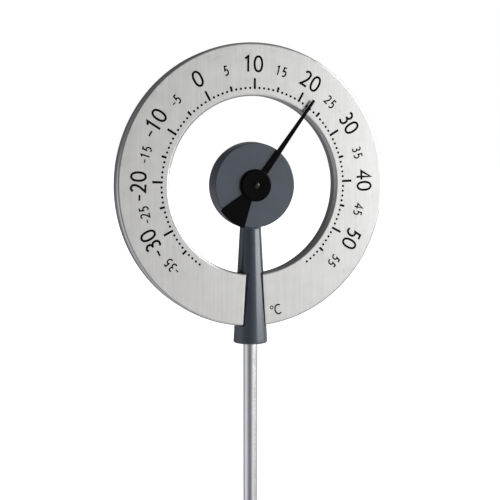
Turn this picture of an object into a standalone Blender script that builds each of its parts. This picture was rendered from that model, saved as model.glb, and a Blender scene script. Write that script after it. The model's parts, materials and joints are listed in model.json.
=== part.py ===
"""Garden thermometer on a stake: an open dial ring round a hub, on a flared neck and a plug-together rod.

Units: the constants and every helper's arguments are in millimetres, and to_m() turns them into the scene's
metres. World frame: +Z up, the dial faces -Y, and the rod's axis is the Z axis with z = 0 at the soil line.
Dial pieces are turned about the dial axis, which runs along Y through (0, 0, DIAL_Z). Their profiles are
pairs (radius, front), where front is the distance towards the reader, so world y = -front.
"""

import math

import bmesh
import bpy
from mathutils import Matrix, Vector

# Overall
DIAL_Z = 795.0
GAP = 0.3
RUNNING = 0.06

# Dial ring
RING_OUTER = 124.5
RING_INNER = 78.0
RING_FACE = 10.0
RING_BACK = -4.0
SHEET = 1.0
EDGE_ROUND = 3.0
LIP_END = 5.5
CARRIER_WALL = 2.2
CARRIER_FLOOR = 2.0
RIM_CHAMFER = 1.75
RIB_MIDDLE = 101.0
RIB_WIDTH = 3.2
TAPE_WIDTH = 5.8
TAPE_THICK = 0.6
END_PLAY = 0.5
SLOT_HALF_AT_INNER = 7.8
SLOT_HALF_AT_OUTER = 10.6
DEGREES_PER_CELSIUS = 2.93
TOP_OF_DIAL_CELSIUS = 10.0
SHOWN_CELSIUS = 22.46

# Hub and neck
HUB_FACE_R = 37.1
HUB_WIDEST_R = 38.2
HUB_HALF_DEPTH = 12.2
HUB_EDGE = 0.9
HUB_CAVITY_R = 34.2
SHELL_WALL = 2.0
NECK_TOP_R = 9.45
NECK_TOP_Z = -38.0
NECK_BOTTOM_Z = -140.2
NECK_FLARE = 0.0568
NECK_FILLET = 1.5
BOSS_OUTER_R = 4.4
BOSS_REACH = 0.8

# Rod and spike
ROD_R = 6.35
ROD_WALL = 1.0
ROD_TOP = DIAL_Z - 72.0
ROD_SEAM = 355.0
SOCKET_R = 6.65
SLEEVE_R = 8.1
SLEEVE_TOP = -108.0
COLLAR_R = 17.0
COLLAR_THICK = 4.0
SPIGOT_TOP = 60.0
SPIKE_LENGTH = 150.0
FIN_HALF_WIDTH = 10.0
FIN_TIP_HALF_WIDTH = 2.4
FIN_HALF_THICK = 1.2

# Rear cover
VENT_OPENING_R = 20.3
VENT_COUNT = 10
VENT_WIDTH = 2.2
VENT_FROM_R = 9.0
VENT_TO_R = 16.5

# Movement
ARBOR_R = 0.9
POST_CIRCLE = 19.2
POST_ANGLES = (30.0, 150.0, 270.0)
HUB_SCREW_CIRCLE = 28.0
HUB_SCREW_ANGLES = (90.0, 210.0, 330.0)
NECK_SCREW_X = 10.2
NECK_SCREW_Z = -132.5
COIL_INNER_R = 4.0
COIL_OUTER_R = 15.8
COIL_TURNS = 6
COIL_STRIP = 0.45
PLATE_FRONT = 8.6
BRIDGE_FRONT = -3.4
PLATE_THICK = 1.0
SCREW_HOLE_R = 1.4
ANCHOR_R = 16.95
ANCHOR_ANGLE = 90.0

# Pointer
BOSS_R = 14.1
TIP_R = 92.6
ARM_ROOT_WIDTH = 6.0
ARM_TIP_WIDTH = 2.4
BOSS_BACK = 12.8
BOSS_FRONT = 15.5
ARM_BACK, ARM_FRONT = 13.1, 14.3
SECTOR_BACK, SECTOR_FRONT = 13.0, 14.7
CAP_R = 3.0
CAP_HIGH = 1.0
SECTOR_R = 39.0
SECTOR_HALF_ANGLE = 20.0

RING_SEGMENTS = 60
HUB_SEGMENTS = 48
NECK_SEGMENTS = 32
ROD_SEGMENTS = 24
DISC_SEGMENTS = 36
SMALL_SEGMENTS = 16
SCREW_SEGMENTS = 12
PILOT_SEGMENTS = 10
CUTTER_REACH = 200.0

TO_FRONT = (math.pi / 2, 0, 0)
TO_BACK = (-math.pi / 2, 0, 0)
UPRIGHT = (0, 0, 0)
DIAL_CENTRE = (0.0, 0.0, DIAL_Z)


# ---------------------------------------------------------------- helpers


def to_m(values):
    return Vector([v / 1000 for v in values])


def clear_scene():
    for obj in list(bpy.data.objects):
        bpy.data.objects.remove(obj, do_unlink=True)


def new_collection(name):
    found = bpy.data.collections.new(name)
    bpy.context.scene.collection.children.link(found)
    return found


def new_material(name, colour, roughness, metallic):
    made = bpy.data.materials.new(name)
    made.use_nodes = True
    made.diffuse_color = (*colour, 1)
    shader = made.node_tree.nodes["Principled BSDF"]
    shader.inputs["Base Color"].default_value = (*colour, 1)
    shader.inputs["Roughness"].default_value = roughness
    shader.inputs["Metallic"].default_value = metallic
    return made


def new_axis(name, at, parent=None):
    """An empty on a joint's axis, which the pieces of one body hang from."""
    empty = bpy.data.objects.new(name, None)
    empty.empty_display_size = 0.03
    empty.location = to_m(at)
    parts.objects.link(empty)
    if parent:
        hang(empty, parent)
    return empty


def hang(obj, axis):
    """Parents obj to an axis empty and leaves it where it is."""
    bpy.context.view_layer.update()
    obj.parent = axis
    obj.matrix_parent_inverse = axis.matrix_world.inverted()


def node(obj, material, axis):
    """Makes obj a visible piece of the body that hangs from axis."""
    for old in list(obj.users_collection):
        old.objects.unlink(obj)
    parts.objects.link(obj)
    obj.hide_render = False
    obj.display_type = "TEXTURED"
    if obj.data.users == 1 or not obj.data.materials:
        obj.data.materials.clear()
        obj.data.materials.append(material)
    if obj.type == "MESH":
        obj.data.shade_smooth()
        obj.data.set_sharp_from_angle(angle=math.radians(35))
    hang(obj, axis)
    return obj


def helper(name, data, at=(0, 0, 0), turn=UPRIGHT):
    """Every shape starts as a hidden helper: a cutter stays one, and node() makes a piece of the others."""
    obj = bpy.data.objects.new(name, data)
    obj.location = to_m(at)
    obj.rotation_euler = turn
    obj.hide_render = True
    obj.display_type = "WIRE"
    cutters.objects.link(obj)
    return obj


def turned(name, profile, at=(0, 0, 0), turn=UPRIGHT, segments=SMALL_SEGMENTS, ring=True):
    """A turned solid. The profile runs down its outer side, and a ring's goes back up its inner side."""
    mesh = bpy.data.meshes.new(name)
    count = len(profile)
    edges = [(i, (i + 1) % count) for i in range(count if ring else count - 1)]
    mesh.from_pydata([to_m((r, 0, h)) for r, h in profile], edges, [])
    obj = helper(name, mesh, at, turn)
    screw = obj.modifiers.new("Turn", "SCREW")
    screw.axis = "Z"
    screw.steps = segments
    screw.render_steps = segments
    screw.use_merge_vertices = True
    screw.merge_threshold = 0.000001
    screw.use_smooth_shade = True
    return obj


def plug(name, radius, low, high, at=(0, 0, 0), turn=UPRIGHT, segments=SMALL_SEGMENTS, chamfer=0.0):
    """A solid cylinder about the local Z axis, chamfered at both ends if asked."""
    profile = [(0, high), (radius - chamfer, high)]
    if chamfer:
        profile += [(radius, high - chamfer), (radius, low + chamfer)]
    else:
        profile += [(radius, low)]
    profile += [(radius - chamfer, low), (0, low)] if chamfer else [(0, low)]
    return turned(name, profile, at, turn, segments, ring=False)


def tube(name, outer, inner, low, high, at=(0, 0, 0), turn=UPRIGHT, segments=SMALL_SEGMENTS):
    """A plain ring of rectangular section about the local Z axis."""
    return turned(name, [(inner, high), (outer, high), (outer, low), (inner, low)], at, turn, segments)


def slab(name, outline, low, high, at=(0, 0, 0), turn=TO_FRONT):
    """A flat outline with thickness from low to high along the local Z axis, as a welded mesh."""
    curve = bpy.data.curves.new(name, "CURVE")
    curve.dimensions = "2D"
    curve.fill_mode = "BOTH"
    curve.extrude = (high - low) / 2000
    spline = curve.splines.new("POLY")
    spline.points.add(len(outline) - 1)
    for point, (x, y) in zip(spline.points, outline):
        point.co = (x / 1000, y / 1000, 0, 1)
    spline.use_cyclic_u = True
    flat = helper(name + "_outline", curve)
    bpy.context.view_layer.update()
    graph = bpy.context.evaluated_depsgraph_get()
    mesh = bpy.data.meshes.new_from_object(flat.evaluated_get(graph))
    mesh.name = name
    bpy.data.objects.remove(flat, do_unlink=True)
    edit_mesh(mesh, Matrix.Translation((0, 0, (low + high) / 2000)))
    return helper(name, mesh, at, turn)


def edit_mesh(mesh, move):
    """Welds a mesh, moves its points and makes its faces point out."""
    work = bmesh.new()
    work.from_mesh(mesh)
    bmesh.ops.remove_doubles(work, verts=work.verts, dist=0.000001)
    bmesh.ops.transform(work, matrix=move, verts=work.verts)
    bmesh.ops.recalc_face_normals(work, faces=work.faces)
    work.to_mesh(mesh)
    work.free()


def block(name, low, high, at=(0, 0, 0), turn=UPRIGHT, spin=()):
    """A box between two corners. With spin, one such box at each of those angles about the local Z axis."""
    size = to_m([b - a for a, b in zip(low, high)])
    middle = Matrix.Translation(to_m([(a + b) / 2 for a, b in zip(low, high)]))
    work = bmesh.new()
    for angle in spin or (0.0,):
        around = Matrix.Rotation(math.radians(angle), 4, "Z")
        bmesh.ops.create_cube(work, size=1, matrix=around @ middle @ Matrix.Diagonal((*size, 1)))
    mesh = bpy.data.meshes.new(name)
    work.to_mesh(mesh)
    work.free()
    return helper(name, mesh, at, turn)


def combine(obj, operation, *others, solver="EXACT"):
    """Cuts or joins obj by other shapes, which stay hidden helpers."""
    for other in others:
        boolean = obj.modifiers.new(other.name, "BOOLEAN")
        boolean.operation = operation
        boolean.solver = solver
        boolean.object = other
    return obj


def shape_shell(shell, operation, *others):
    """The shells take many cuts near their parting plane, where the exact solver leaves open edges."""
    return combine(shell, operation, *others, solver="MANIFOLD")


def applied(obj):
    """Replaces obj's mesh by its evaluated one, so that copies can share it."""
    bpy.context.view_layer.update()
    graph = bpy.context.evaluated_depsgraph_get()
    mesh = bpy.data.meshes.new_from_object(obj.evaluated_get(graph))
    obj.modifiers.clear()
    obj.data = mesh
    return obj


def copy_to(obj, name, at):
    twin = bpy.data.objects.new(name, obj.data)
    twin.location = to_m(at)
    twin.rotation_euler = obj.rotation_euler
    cutters.objects.link(twin)
    return twin


def arc(centre, radius, start, end, steps):
    """Points on an arc in the profile or outline plane, from start to end in degrees."""
    angles = [math.radians(start + (end - start) * i / steps) for i in range(steps + 1)]
    return [(centre[0] + radius * math.cos(a), centre[1] + radius * math.sin(a)) for a in angles]


def polar(radius, angle):
    return radius * math.cos(math.radians(angle)), radius * math.sin(math.radians(angle))


def on_dial(radius, angle):
    """World position at a polar place about the dial axis, with 0 degrees along +X and 90 along +Z."""
    x, z = polar(radius, angle)
    return x, 0.0, DIAL_Z + z


# ---------------------------------------------------------------- dial ring


def slot_cutter(name, clearance, front, back):
    """The tapered slot at the foot of the ring. A clearance widens it all round."""
    slope = (SLOT_HALF_AT_OUTER - SLOT_HALF_AT_INNER) / (RING_OUTER - RING_INNER)

    def half(depth):
        return SLOT_HALF_AT_INNER + slope * (depth - RING_INNER) + clearance

    near, far = RING_INNER - 20, RING_OUTER + 20
    outline = [(-half(near), -near), (half(near), -near), (half(far), -far), (-half(far), -far)]
    return slab(name, outline, back, front, DIAL_CENTRE)


def make_dial_plate():
    """Printed metal face with its edges rolled back over the carrier."""
    outer_c = (RING_OUTER - EDGE_ROUND, RING_FACE - EDGE_ROUND)
    inner_c = (RING_INNER + EDGE_ROUND, RING_FACE - EDGE_ROUND)
    profile = arc(outer_c, EDGE_ROUND, 90, 0, 2)
    profile += [(RING_OUTER, LIP_END), (RING_OUTER - SHEET, LIP_END)]
    profile += arc(outer_c, EDGE_ROUND - SHEET, 0, 90, 1)
    profile += arc(inner_c, EDGE_ROUND - SHEET, 90, 180, 1)
    profile += [(RING_INNER + SHEET, LIP_END), (RING_INNER, LIP_END)]
    profile += arc(inner_c, EDGE_ROUND, 180, 90, 2)
    plate = turned("dial_plate", profile, DIAL_CENTRE, TO_FRONT, RING_SEGMENTS)
    combine(plate, "DIFFERENCE", slot_cutter("plate_slot", 0.0, 20, -20))
    node(plate, brushed_metal, head_axis)


def make_ring_carrier():
    """Moulded channel behind the face, with a middle rib for the tape and a wall at each slot end."""
    rim_top = RING_FACE - SHEET - GAP
    shoulder = LIP_END - GAP
    rim_out = RING_OUTER - SHEET - GAP
    rim_in = RING_INNER + SHEET + GAP
    profile = [
        (rim_in + RIM_CHAMFER, rim_top),
        (rim_out - RIM_CHAMFER, rim_top),
        (rim_out, rim_top - RIM_CHAMFER),
        (rim_out, shoulder),
        (RING_OUTER - 0.3, shoulder),
        (RING_OUTER - 0.6, RING_BACK + 0.8),
        (RING_OUTER - 1.4, RING_BACK),
        (RING_INNER + 1.2, RING_BACK),
        (RING_INNER + 0.5, RING_BACK + 0.7),
        (RING_INNER + 0.2, shoulder),
        (rim_in, shoulder),
        (rim_in, rim_top - RIM_CHAMFER),
    ]
    carrier = turned("ring_carrier", profile, DIAL_CENTRE, TO_FRONT, RING_SEGMENTS)
    floor = RING_BACK + CARRIER_FLOOR
    lanes = (
        ("inner_lane", rim_in + CARRIER_WALL, RIB_MIDDLE - RIB_WIDTH / 2),
        ("outer_lane", RIB_MIDDLE + RIB_WIDTH / 2, rim_out - CARRIER_WALL),
    )
    combine(carrier, "DIFFERENCE", slot_cutter("carrier_slot", 0.0, 20, -20))
    for name, inner, outer in lanes:
        lane = tube(name, outer, inner, floor, rim_top + 5, DIAL_CENTRE, TO_FRONT, RING_SEGMENTS)
        combine(lane, "DIFFERENCE", slot_cutter(name + "_end_walls", CARRIER_WALL, 20, -20))
        combine(carrier, "DIFFERENCE", lane)
    tape_floor = rim_top - TAPE_THICK
    outer, inner, low = RIB_MIDDLE + RIB_WIDTH, RIB_MIDDLE - RIB_WIDTH, tape_floor - GAP
    over_rib = tube("over_rib", outer, inner, low, rim_top + 4, DIAL_CENTRE, TO_FRONT, RING_SEGMENTS)
    combine(carrier, "DIFFERENCE", over_rib)
    node(carrier, dark_plastic, head_axis)

    outer, inner = RIB_MIDDLE + TAPE_WIDTH / 2, RIB_MIDDLE - TAPE_WIDTH / 2
    tape = tube("dial_tape", outer, inner, tape_floor, rim_top, DIAL_CENTRE, TO_FRONT, RING_SEGMENTS)
    combine(tape, "DIFFERENCE", slot_cutter("tape_slot", 0.6, 20, -20))
    node(tape, tape_foam, head_axis)


# ---------------------------------------------------------------- hub and neck shells


def neck_radius(z):
    """The neck flares gently down from under the hub; z is measured from the dial axis."""
    down = NECK_TOP_Z - z
    return NECK_TOP_R + NECK_FLARE * down


def neck_solid(name):
    top = NECK_TOP_Z + 6
    foot = NECK_BOTTOM_Z + NECK_FILLET
    steps = 6
    heights = [top + (foot - top) * i / steps for i in range(steps + 1)]
    profile = [(0, top)] + [(neck_radius(z), z) for z in heights]
    fillet_centre = (neck_radius(foot) - NECK_FILLET, foot)
    profile += arc(fillet_centre, NECK_FILLET, -30, -90, 2)
    profile += [(0, NECK_BOTTOM_Z)]
    return turned(name, profile, DIAL_CENTRE, UPRIGHT, NECK_SEGMENTS, ring=False)


def neck_bore(name):
    """Sleeve pocket, rod socket and the narrow way up into the hub."""
    pocket_top = SLEEVE_TOP + 3.0
    socket_top = ROD_TOP - DIAL_Z + 2.0
    profile = [
        (0, -30),
        (4.5, -30),
        (4.5, socket_top),
        (SOCKET_R, socket_top),
        (SOCKET_R, pocket_top),
        (SLEEVE_R + GAP, pocket_top),
        (SLEEVE_R + GAP, NECK_BOTTOM_Z - 5),
        (0, NECK_BOTTOM_Z - 5),
    ]
    return turned(name, profile, DIAL_CENTRE, UPRIGHT, NECK_SEGMENTS, ring=False)


def ring_clearance(name):
    """The room that the ring's two ends take in the neck's side notches."""
    outer, inner = RING_OUTER + END_PLAY, RING_INNER - END_PLAY
    back, front = RING_BACK - END_PLAY, RING_FACE + END_PLAY
    room = tube(name, outer, inner, back, front, DIAL_CENTRE, TO_FRONT, RING_SEGMENTS)
    return combine(room, "DIFFERENCE", slot_cutter(name + "_web", -END_PLAY, 30, -30))


def hub_drum(name):
    profile = [
        (0, HUB_HALF_DEPTH),
        (HUB_FACE_R - HUB_EDGE, HUB_HALF_DEPTH),
        (HUB_FACE_R, HUB_HALF_DEPTH - HUB_EDGE),
        (HUB_WIDEST_R, 0),
        (HUB_WIDEST_R - 0.8, -4.2),
        (HUB_WIDEST_R - 2.2, -8.0),
        (HUB_WIDEST_R - 4.4, -10.8),
        (HUB_WIDEST_R - 6.4, -HUB_HALF_DEPTH),
        (0, -HUB_HALF_DEPTH),
    ]
    return turned(name, profile, DIAL_CENTRE, TO_FRONT, HUB_SEGMENTS, ring=False)


def hub_cavity(name):
    inside = HUB_HALF_DEPTH - SHELL_WALL
    profile = [
        (0, inside),
        (HUB_CAVITY_R, inside),
        (HUB_CAVITY_R + 0.6, 0),
        (HUB_CAVITY_R, -5.0),
        (HUB_CAVITY_R - 4.2, -inside),
        (0, -inside),
    ]
    return turned(name, profile, DIAL_CENTRE, TO_FRONT, HUB_SEGMENTS, ring=False)


def shell_blank(name):
    """Drum and neck in one moulding, hollowed, with the ring's notches, before it is halved."""
    blank = hub_drum(name)
    shape_shell(blank, "UNION", neck_solid(name + "_neck"))
    shape_shell(blank, "DIFFERENCE", hub_cavity(name + "_cavity"), neck_bore(name + "_bore"))
    shape_shell(blank, "DIFFERENCE", ring_clearance(name + "_notches"))
    return blank


def make_front_shell():
    shell = shell_blank("front_shell")
    inside = HUB_HALF_DEPTH - SHELL_WALL
    shape_shell(shell, "DIFFERENCE", keep_side("behind_parting", -1))
    bosses = [on_dial(HUB_SCREW_CIRCLE, angle) for angle in HUB_SCREW_ANGLES]
    pads = [on_dial(POST_CIRCLE, angle) for angle in POST_ANGLES]
    root = inside + BOSS_REACH
    for i, at in enumerate(bosses):
        shape_shell(shell, "UNION", plug(f"front_boss_{i}", BOSS_OUTER_R, GAP / 2, root, at, TO_FRONT))
    for i, at in enumerate(pads):
        shape_shell(shell, "UNION", plug(f"post_pad_{i}", 3.0, inside - 1.3, root, at, TO_FRONT))
    for i, at in enumerate(bosses):
        pilot = plug(f"front_pilot_{i}", 1.45, -2, 7.0, at, TO_FRONT, PILOT_SEGMENTS)
        shape_shell(shell, "DIFFERENCE", pilot)
    for i, at in enumerate(pads):
        pilot = plug(f"post_pilot_{i}", 1.3, inside - 3, inside + 1.0, at, TO_FRONT, PILOT_SEGMENTS)
        shape_shell(shell, "DIFFERENCE", pilot)
    for side in (-1, 1):
        at = (side * NECK_SCREW_X, 0, DIAL_Z + NECK_SCREW_Z)
        pilot = plug(f"neck_pilot_{side}", 1.2, -2, 6.0, at, TO_FRONT, PILOT_SEGMENTS)
        shape_shell(shell, "DIFFERENCE", pilot)
    shape_shell(shell, "DIFFERENCE", plug("bush_hole", 2.7, 5, 20, DIAL_CENTRE, TO_FRONT))
    node(shell, slate_plastic, head_axis)


def screw_way(name, hole_r, head_r, seat, at):
    """Cutter for a clearance hole with a counterbore whose floor is the screw's seat."""
    profile = [(0, 20), (head_r, 20), (head_r, seat), (hole_r, seat), (hole_r, -2), (0, -2)]
    return turned(name, profile, at, TO_BACK, PILOT_SEGMENTS, ring=False)


def make_rear_shell():
    shell = shell_blank("rear_shell")
    inside = HUB_HALF_DEPTH - SHELL_WALL
    shape_shell(shell, "DIFFERENCE", keep_side("before_parting", 1))
    opening = plug("vent_opening", VENT_OPENING_R, 5, 20, DIAL_CENTRE, TO_BACK, HUB_SEGMENTS)
    shape_shell(shell, "DIFFERENCE", opening)
    bosses = [on_dial(HUB_SCREW_CIRCLE, angle) for angle in HUB_SCREW_ANGLES]
    for i, at in enumerate(bosses):
        boss = plug(f"rear_boss_{i}", BOSS_OUTER_R, GAP / 2, inside + BOSS_REACH, at, TO_BACK)
        shape_shell(shell, "UNION", boss)
    for i, at in enumerate(bosses):
        shape_shell(shell, "DIFFERENCE", screw_way(f"hub_screw_way_{i}", 1.6, 3.2, 8.4, at))
    for side in (-1, 1):
        at = (side * NECK_SCREW_X, 0, DIAL_Z + NECK_SCREW_Z)
        shape_shell(shell, "DIFFERENCE", screw_way(f"neck_screw_way_{side}", 1.2, 2.3, 5.0, at))
    node(shell, slate_plastic, head_axis)


def keep_side(name, side):
    """A half-space that removes all but one side of the parting plane: side -1 keeps the front."""
    near, far = -GAP / 2, CUTTER_REACH
    low_y, high_y = (near, far) if side < 0 else (-far, -near)
    reach = CUTTER_REACH
    return block(name, (-reach, low_y, DIAL_Z - reach), (reach, high_y, DIAL_Z + reach))


def make_vent_cover():
    """Slotted rear cover that lets air reach the coil, with a recess for the calibration dial."""
    outside = HUB_HALF_DEPTH - 0.2
    inside = HUB_HALF_DEPTH - SHELL_WALL
    flange_top = inside - GAP
    flange_low = flange_top - 1.5
    profile = [
        (5.8, outside),
        (VENT_OPENING_R - GAP, outside),
        (VENT_OPENING_R - GAP, flange_top),
        (22.6, flange_top),
        (22.6, flange_low),
        (18.4, flange_low),
        (18.4, inside),
        (7.5, inside),
        (6.8, flange_low),
        (2.2 + RUNNING, flange_low),
        (2.2 + RUNNING, 10.6),
        (5.8, 10.6),
    ]
    cover = turned("vent_cover", profile, DIAL_CENTRE, TO_BACK, DISC_SEGMENTS)
    spin = [360 / VENT_COUNT * i for i in range(VENT_COUNT)]
    low, high = (VENT_FROM_R, -VENT_WIDTH / 2, 9.0), (VENT_TO_R, VENT_WIDTH / 2, 20.0)
    combine(cover, "DIFFERENCE", block("vent_slots", low, high, DIAL_CENTRE, TO_BACK, spin))
    node(cover, slate_plastic, head_axis)


# ---------------------------------------------------------------- screws


def screw_blank(name, head_r, head_h, shank_r, length):
    """Slotted pan-head screw. Its seat is at local z = 0 and its head points to +Z."""
    profile = [
        (0, head_h),
        (head_r * 0.7, head_h),
        (head_r, head_h * 0.5),
        (head_r, 0),
        (shank_r, 0),
        (shank_r, shank_r - length),
        (0, -length),
    ]
    blank = turned(name, profile, segments=SCREW_SEGMENTS, ring=False, turn=TO_BACK)
    wide = head_r * 0.16
    low, high = (-2 * head_r, -wide, head_h * 0.5), (2 * head_r, wide, head_h + 1)
    slot = block(name + "_slot", low, high, turn=TO_BACK)
    combine(blank, "DIFFERENCE", slot)
    return applied(blank)


def make_screws():
    """Three through the movement, three that close the hub and two that close the neck."""
    at_posts = [on_dial(POST_CIRCLE, angle) for angle in POST_ANGLES]
    on_hub = [on_dial(HUB_SCREW_CIRCLE, angle) for angle in HUB_SCREW_ANGLES]
    on_neck = [(side * NECK_SCREW_X, 0, DIAL_Z + NECK_SCREW_Z) for side in (-1, 1)]
    rows = (
        ("bridge_screw", (2.3, 1.3, 1.1, 15.3), 4.7, at_posts),
        ("hub_screw", (2.9, 1.9, 1.3, 14.5), 8.7, on_hub),
        ("neck_screw", (2.0, 1.5, 0.95, 10.5), 5.3, on_neck),
    )
    for name, sizes, seat, places in rows:
        blank = screw_blank(name + "_blank", *sizes)
        for i, (x, _, z) in enumerate(places, 1):
            node(copy_to(blank, f"{name}_{i}", (x, seat, z)), zinc_steel, head_axis)


# ---------------------------------------------------------------- movement


def post_holes(name, low, high):
    """Cutters for the clearance holes at the three posts."""
    places = [on_dial(POST_CIRCLE, angle) for angle in POST_ANGLES]
    return [plug(f"{name}_{i}", SCREW_HOLE_R, low, high, at, TO_FRONT) for i, at in enumerate(places)]


def make_movement():
    """Front plate, posts and rear bridge that hold the arbor's two bushes."""
    plate_back, bridge_back = PLATE_FRONT - PLATE_THICK, BRIDGE_FRONT - PLATE_THICK
    plate = tube("movement_plate", 22.5, 4.5, plate_back, PLATE_FRONT, DIAL_CENTRE, TO_FRONT, DISC_SEGMENTS)
    node(combine(plate, "DIFFERENCE", *post_holes("plate_hole", 0, 20)), brass, head_axis)

    spider = []
    for angle in POST_ANGLES:
        spider += [polar(22.0, angle - 8), polar(22.0, angle + 8)]
        spider += [polar(9.0, angle + 45), polar(9.0, angle + 75)]
    bridge = slab("movement_bridge", spider, bridge_back, BRIDGE_FRONT, DIAL_CENTRE)
    bush_hole = plug("rear_bush_hole", 2.5, -20, 0, DIAL_CENTRE, TO_FRONT)
    combine(bridge, "DIFFERENCE", bush_hole, *post_holes("bridge_hole", -20, 0))
    node(bridge, brass, head_axis)

    low, high = BRIDGE_FRONT + GAP, plate_back - GAP
    for i, angle in enumerate(POST_ANGLES, 1):
        post = tube(f"bridge_post_{i}", 2.4, SCREW_HOLE_R, low, high, on_dial(POST_CIRCLE, angle), TO_FRONT)
        node(post, brass, head_axis)

    bore = ARBOR_R + RUNNING
    front_bush = [(bore, 12.4), (2.4, 12.4), (2.4, 9.9), (3.8, 9.9), (3.8, 9.2), (bore, 9.2)]
    node(turned("front_bush", front_bush, DIAL_CENTRE, TO_FRONT), brass, head_axis)
    rear_bush = [(bore, -2.4), (3.4, -2.4), (3.4, -3.1), (2.2, -3.1), (2.2, -4.7), (bore, -4.7)]
    node(turned("rear_bush", rear_bush, DIAL_CENTRE, TO_FRONT), brass, head_axis)


def make_coil():
    """Flat bimetal strip wound as a spiral, from the collet out to the anchor pin."""
    per_turn = 16
    count = COIL_TURNS * per_turn
    rows = []
    for i in range(count + 1):
        share = i / count
        radius = COIL_INNER_R + (COIL_OUTER_R - COIL_INNER_R) * share
        rows.append(polar(radius, ANCHOR_ANGLE + 360 * COIL_TURNS * share))
    mesh = bpy.data.meshes.new("bimetal_coil")
    points = [to_m((x, z, front)) for front in (-1.6, 3.6) for x, z in rows]
    size = len(rows)
    mesh.from_pydata(points, [], [(i, i + 1, size + i + 1, size + i) for i in range(size - 1)])
    coil = helper("bimetal_coil", mesh, DIAL_CENTRE, TO_FRONT)
    solidify = coil.modifiers.new("Strip", "SOLIDIFY")
    solidify.thickness = COIL_STRIP / 1000
    solidify.offset = 0
    node(coil, bimetal, calibration_axis)


def make_calibration():
    """Rear dial that shifts the coil's outer end, with its arm, pin and spring washer."""
    head = [
        (0, 12.0),
        (5.0, 12.0),
        (5.4, 11.6),
        (5.4, 10.9),
        (2.2, 10.9),
        (2.2, 6.9),
        (0, 6.9),
    ]
    dial = turned("calibration_dial", head, DIAL_CENTRE, TO_BACK, 24, ring=False)
    combine(dial, "DIFFERENCE", block("driver_slot", (-7, -0.5, 11.4), (7, 0.5, 14), DIAL_CENTRE, TO_BACK))
    node(dial, brass, calibration_axis)
    node(tube("adjuster_washer", 4.8, 2.5, 7.9, 8.1, DIAL_CENTRE, TO_BACK), zinc_steel, calibration_axis)

    round_end = arc((0, 0), 4.6, 135, 405, 7)
    outline = [(2.4, 18.8), (-2.4, 18.8)] + round_end
    arm = slab("regulator_arm", outline, -7.6, -6.6, DIAL_CENTRE)
    pin_hole = plug("pin_hole", 1.0, -20, 0, on_dial(ANCHOR_R, ANCHOR_ANGLE), TO_FRONT)
    combine(arm, "DIFFERENCE", plug("arm_eye", 2.5, -20, 0, DIAL_CENTRE, TO_FRONT), pin_hole)
    node(arm, brass, calibration_axis)
    pin = plug("coil_anchor_pin", 0.7, -7.4, 3.6, on_dial(ANCHOR_R, ANCHOR_ANGLE), TO_FRONT, chamfer=0.2)
    node(pin, brass, calibration_axis)


def make_arbor():
    """Pointer shaft with the collet that holds the coil's inner end and a clip behind the rear bush."""
    arbor = plug("arbor", ARBOR_R, -5.7, BOSS_FRONT - 0.8, DIAL_CENTRE, TO_FRONT, chamfer=0.2)
    node(arbor, zinc_steel, pointer_axis)
    node(tube("coil_collet", 3.4, ARBOR_R + 0.15, -1.9, 4.0, DIAL_CENTRE, TO_FRONT), brass, pointer_axis)
    node(tube("arbor_clip", 2.0, ARBOR_R + 0.15, -5.4, -5.0, DIAL_CENTRE, TO_FRONT), zinc_steel, pointer_axis)


# ---------------------------------------------------------------- pointer


def make_pointer():
    """Arm, counterweight sector and boss in one black moulding, and the cap over the arbor's end."""
    heading = 90 - (SHOWN_CELSIUS - TOP_OF_DIAL_CELSIUS) * DEGREES_PER_CELSIUS
    boss_profile = [
        (ARBOR_R + 0.15, BOSS_FRONT - 0.4),
        (BOSS_R - 1.2, BOSS_FRONT),
        (BOSS_R, BOSS_FRONT - 0.6),
        (BOSS_R, BOSS_BACK + 0.6),
        (BOSS_R - 0.6, BOSS_BACK),
        (ARBOR_R + 0.15, BOSS_BACK),
    ]
    pointer = turned("pointer", boss_profile, DIAL_CENTRE, TO_FRONT, DISC_SEGMENTS)
    root, tip = ARM_ROOT_WIDTH / 2, ARM_TIP_WIDTH / 2
    end = TIP_R - 0.5
    arm = [(8, root), (8, -root), (end, -tip), (TIP_R, -tip + 0.5), (TIP_R, tip - 0.5), (end, tip)]
    sector = arc((0, 0), SECTOR_R, 180 - SECTOR_HALF_ANGLE, 180 + SECTOR_HALF_ANGLE, 8)
    sector += arc((0, 0), 8, 180 + SECTOR_HALF_ANGLE, 180 - SECTOR_HALF_ANGLE, 2)
    blades = (("arm", arm, ARM_BACK, ARM_FRONT), ("sector", sector, SECTOR_BACK, SECTOR_FRONT))
    for name, outline, low, high in blades:
        blade = slab("pointer_" + name, outline, low, high, DIAL_CENTRE)
        blade.data.transform(Matrix.Rotation(math.radians(heading), 4, "Z"))
        combine(pointer, "UNION", blade)
    node(pointer, black_plastic, pointer_axis)
    seat = BOSS_FRONT + 0.2
    top = seat + CAP_HIGH
    cap = [(0, top), (CAP_R - 0.8, top), (CAP_R, top - 0.6), (CAP_R, seat), (0, seat)]
    node(turned("pointer_cap", cap, DIAL_CENTRE, TO_FRONT, ring=False), black_plastic, pointer_axis)


# ---------------------------------------------------------------- stake


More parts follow.
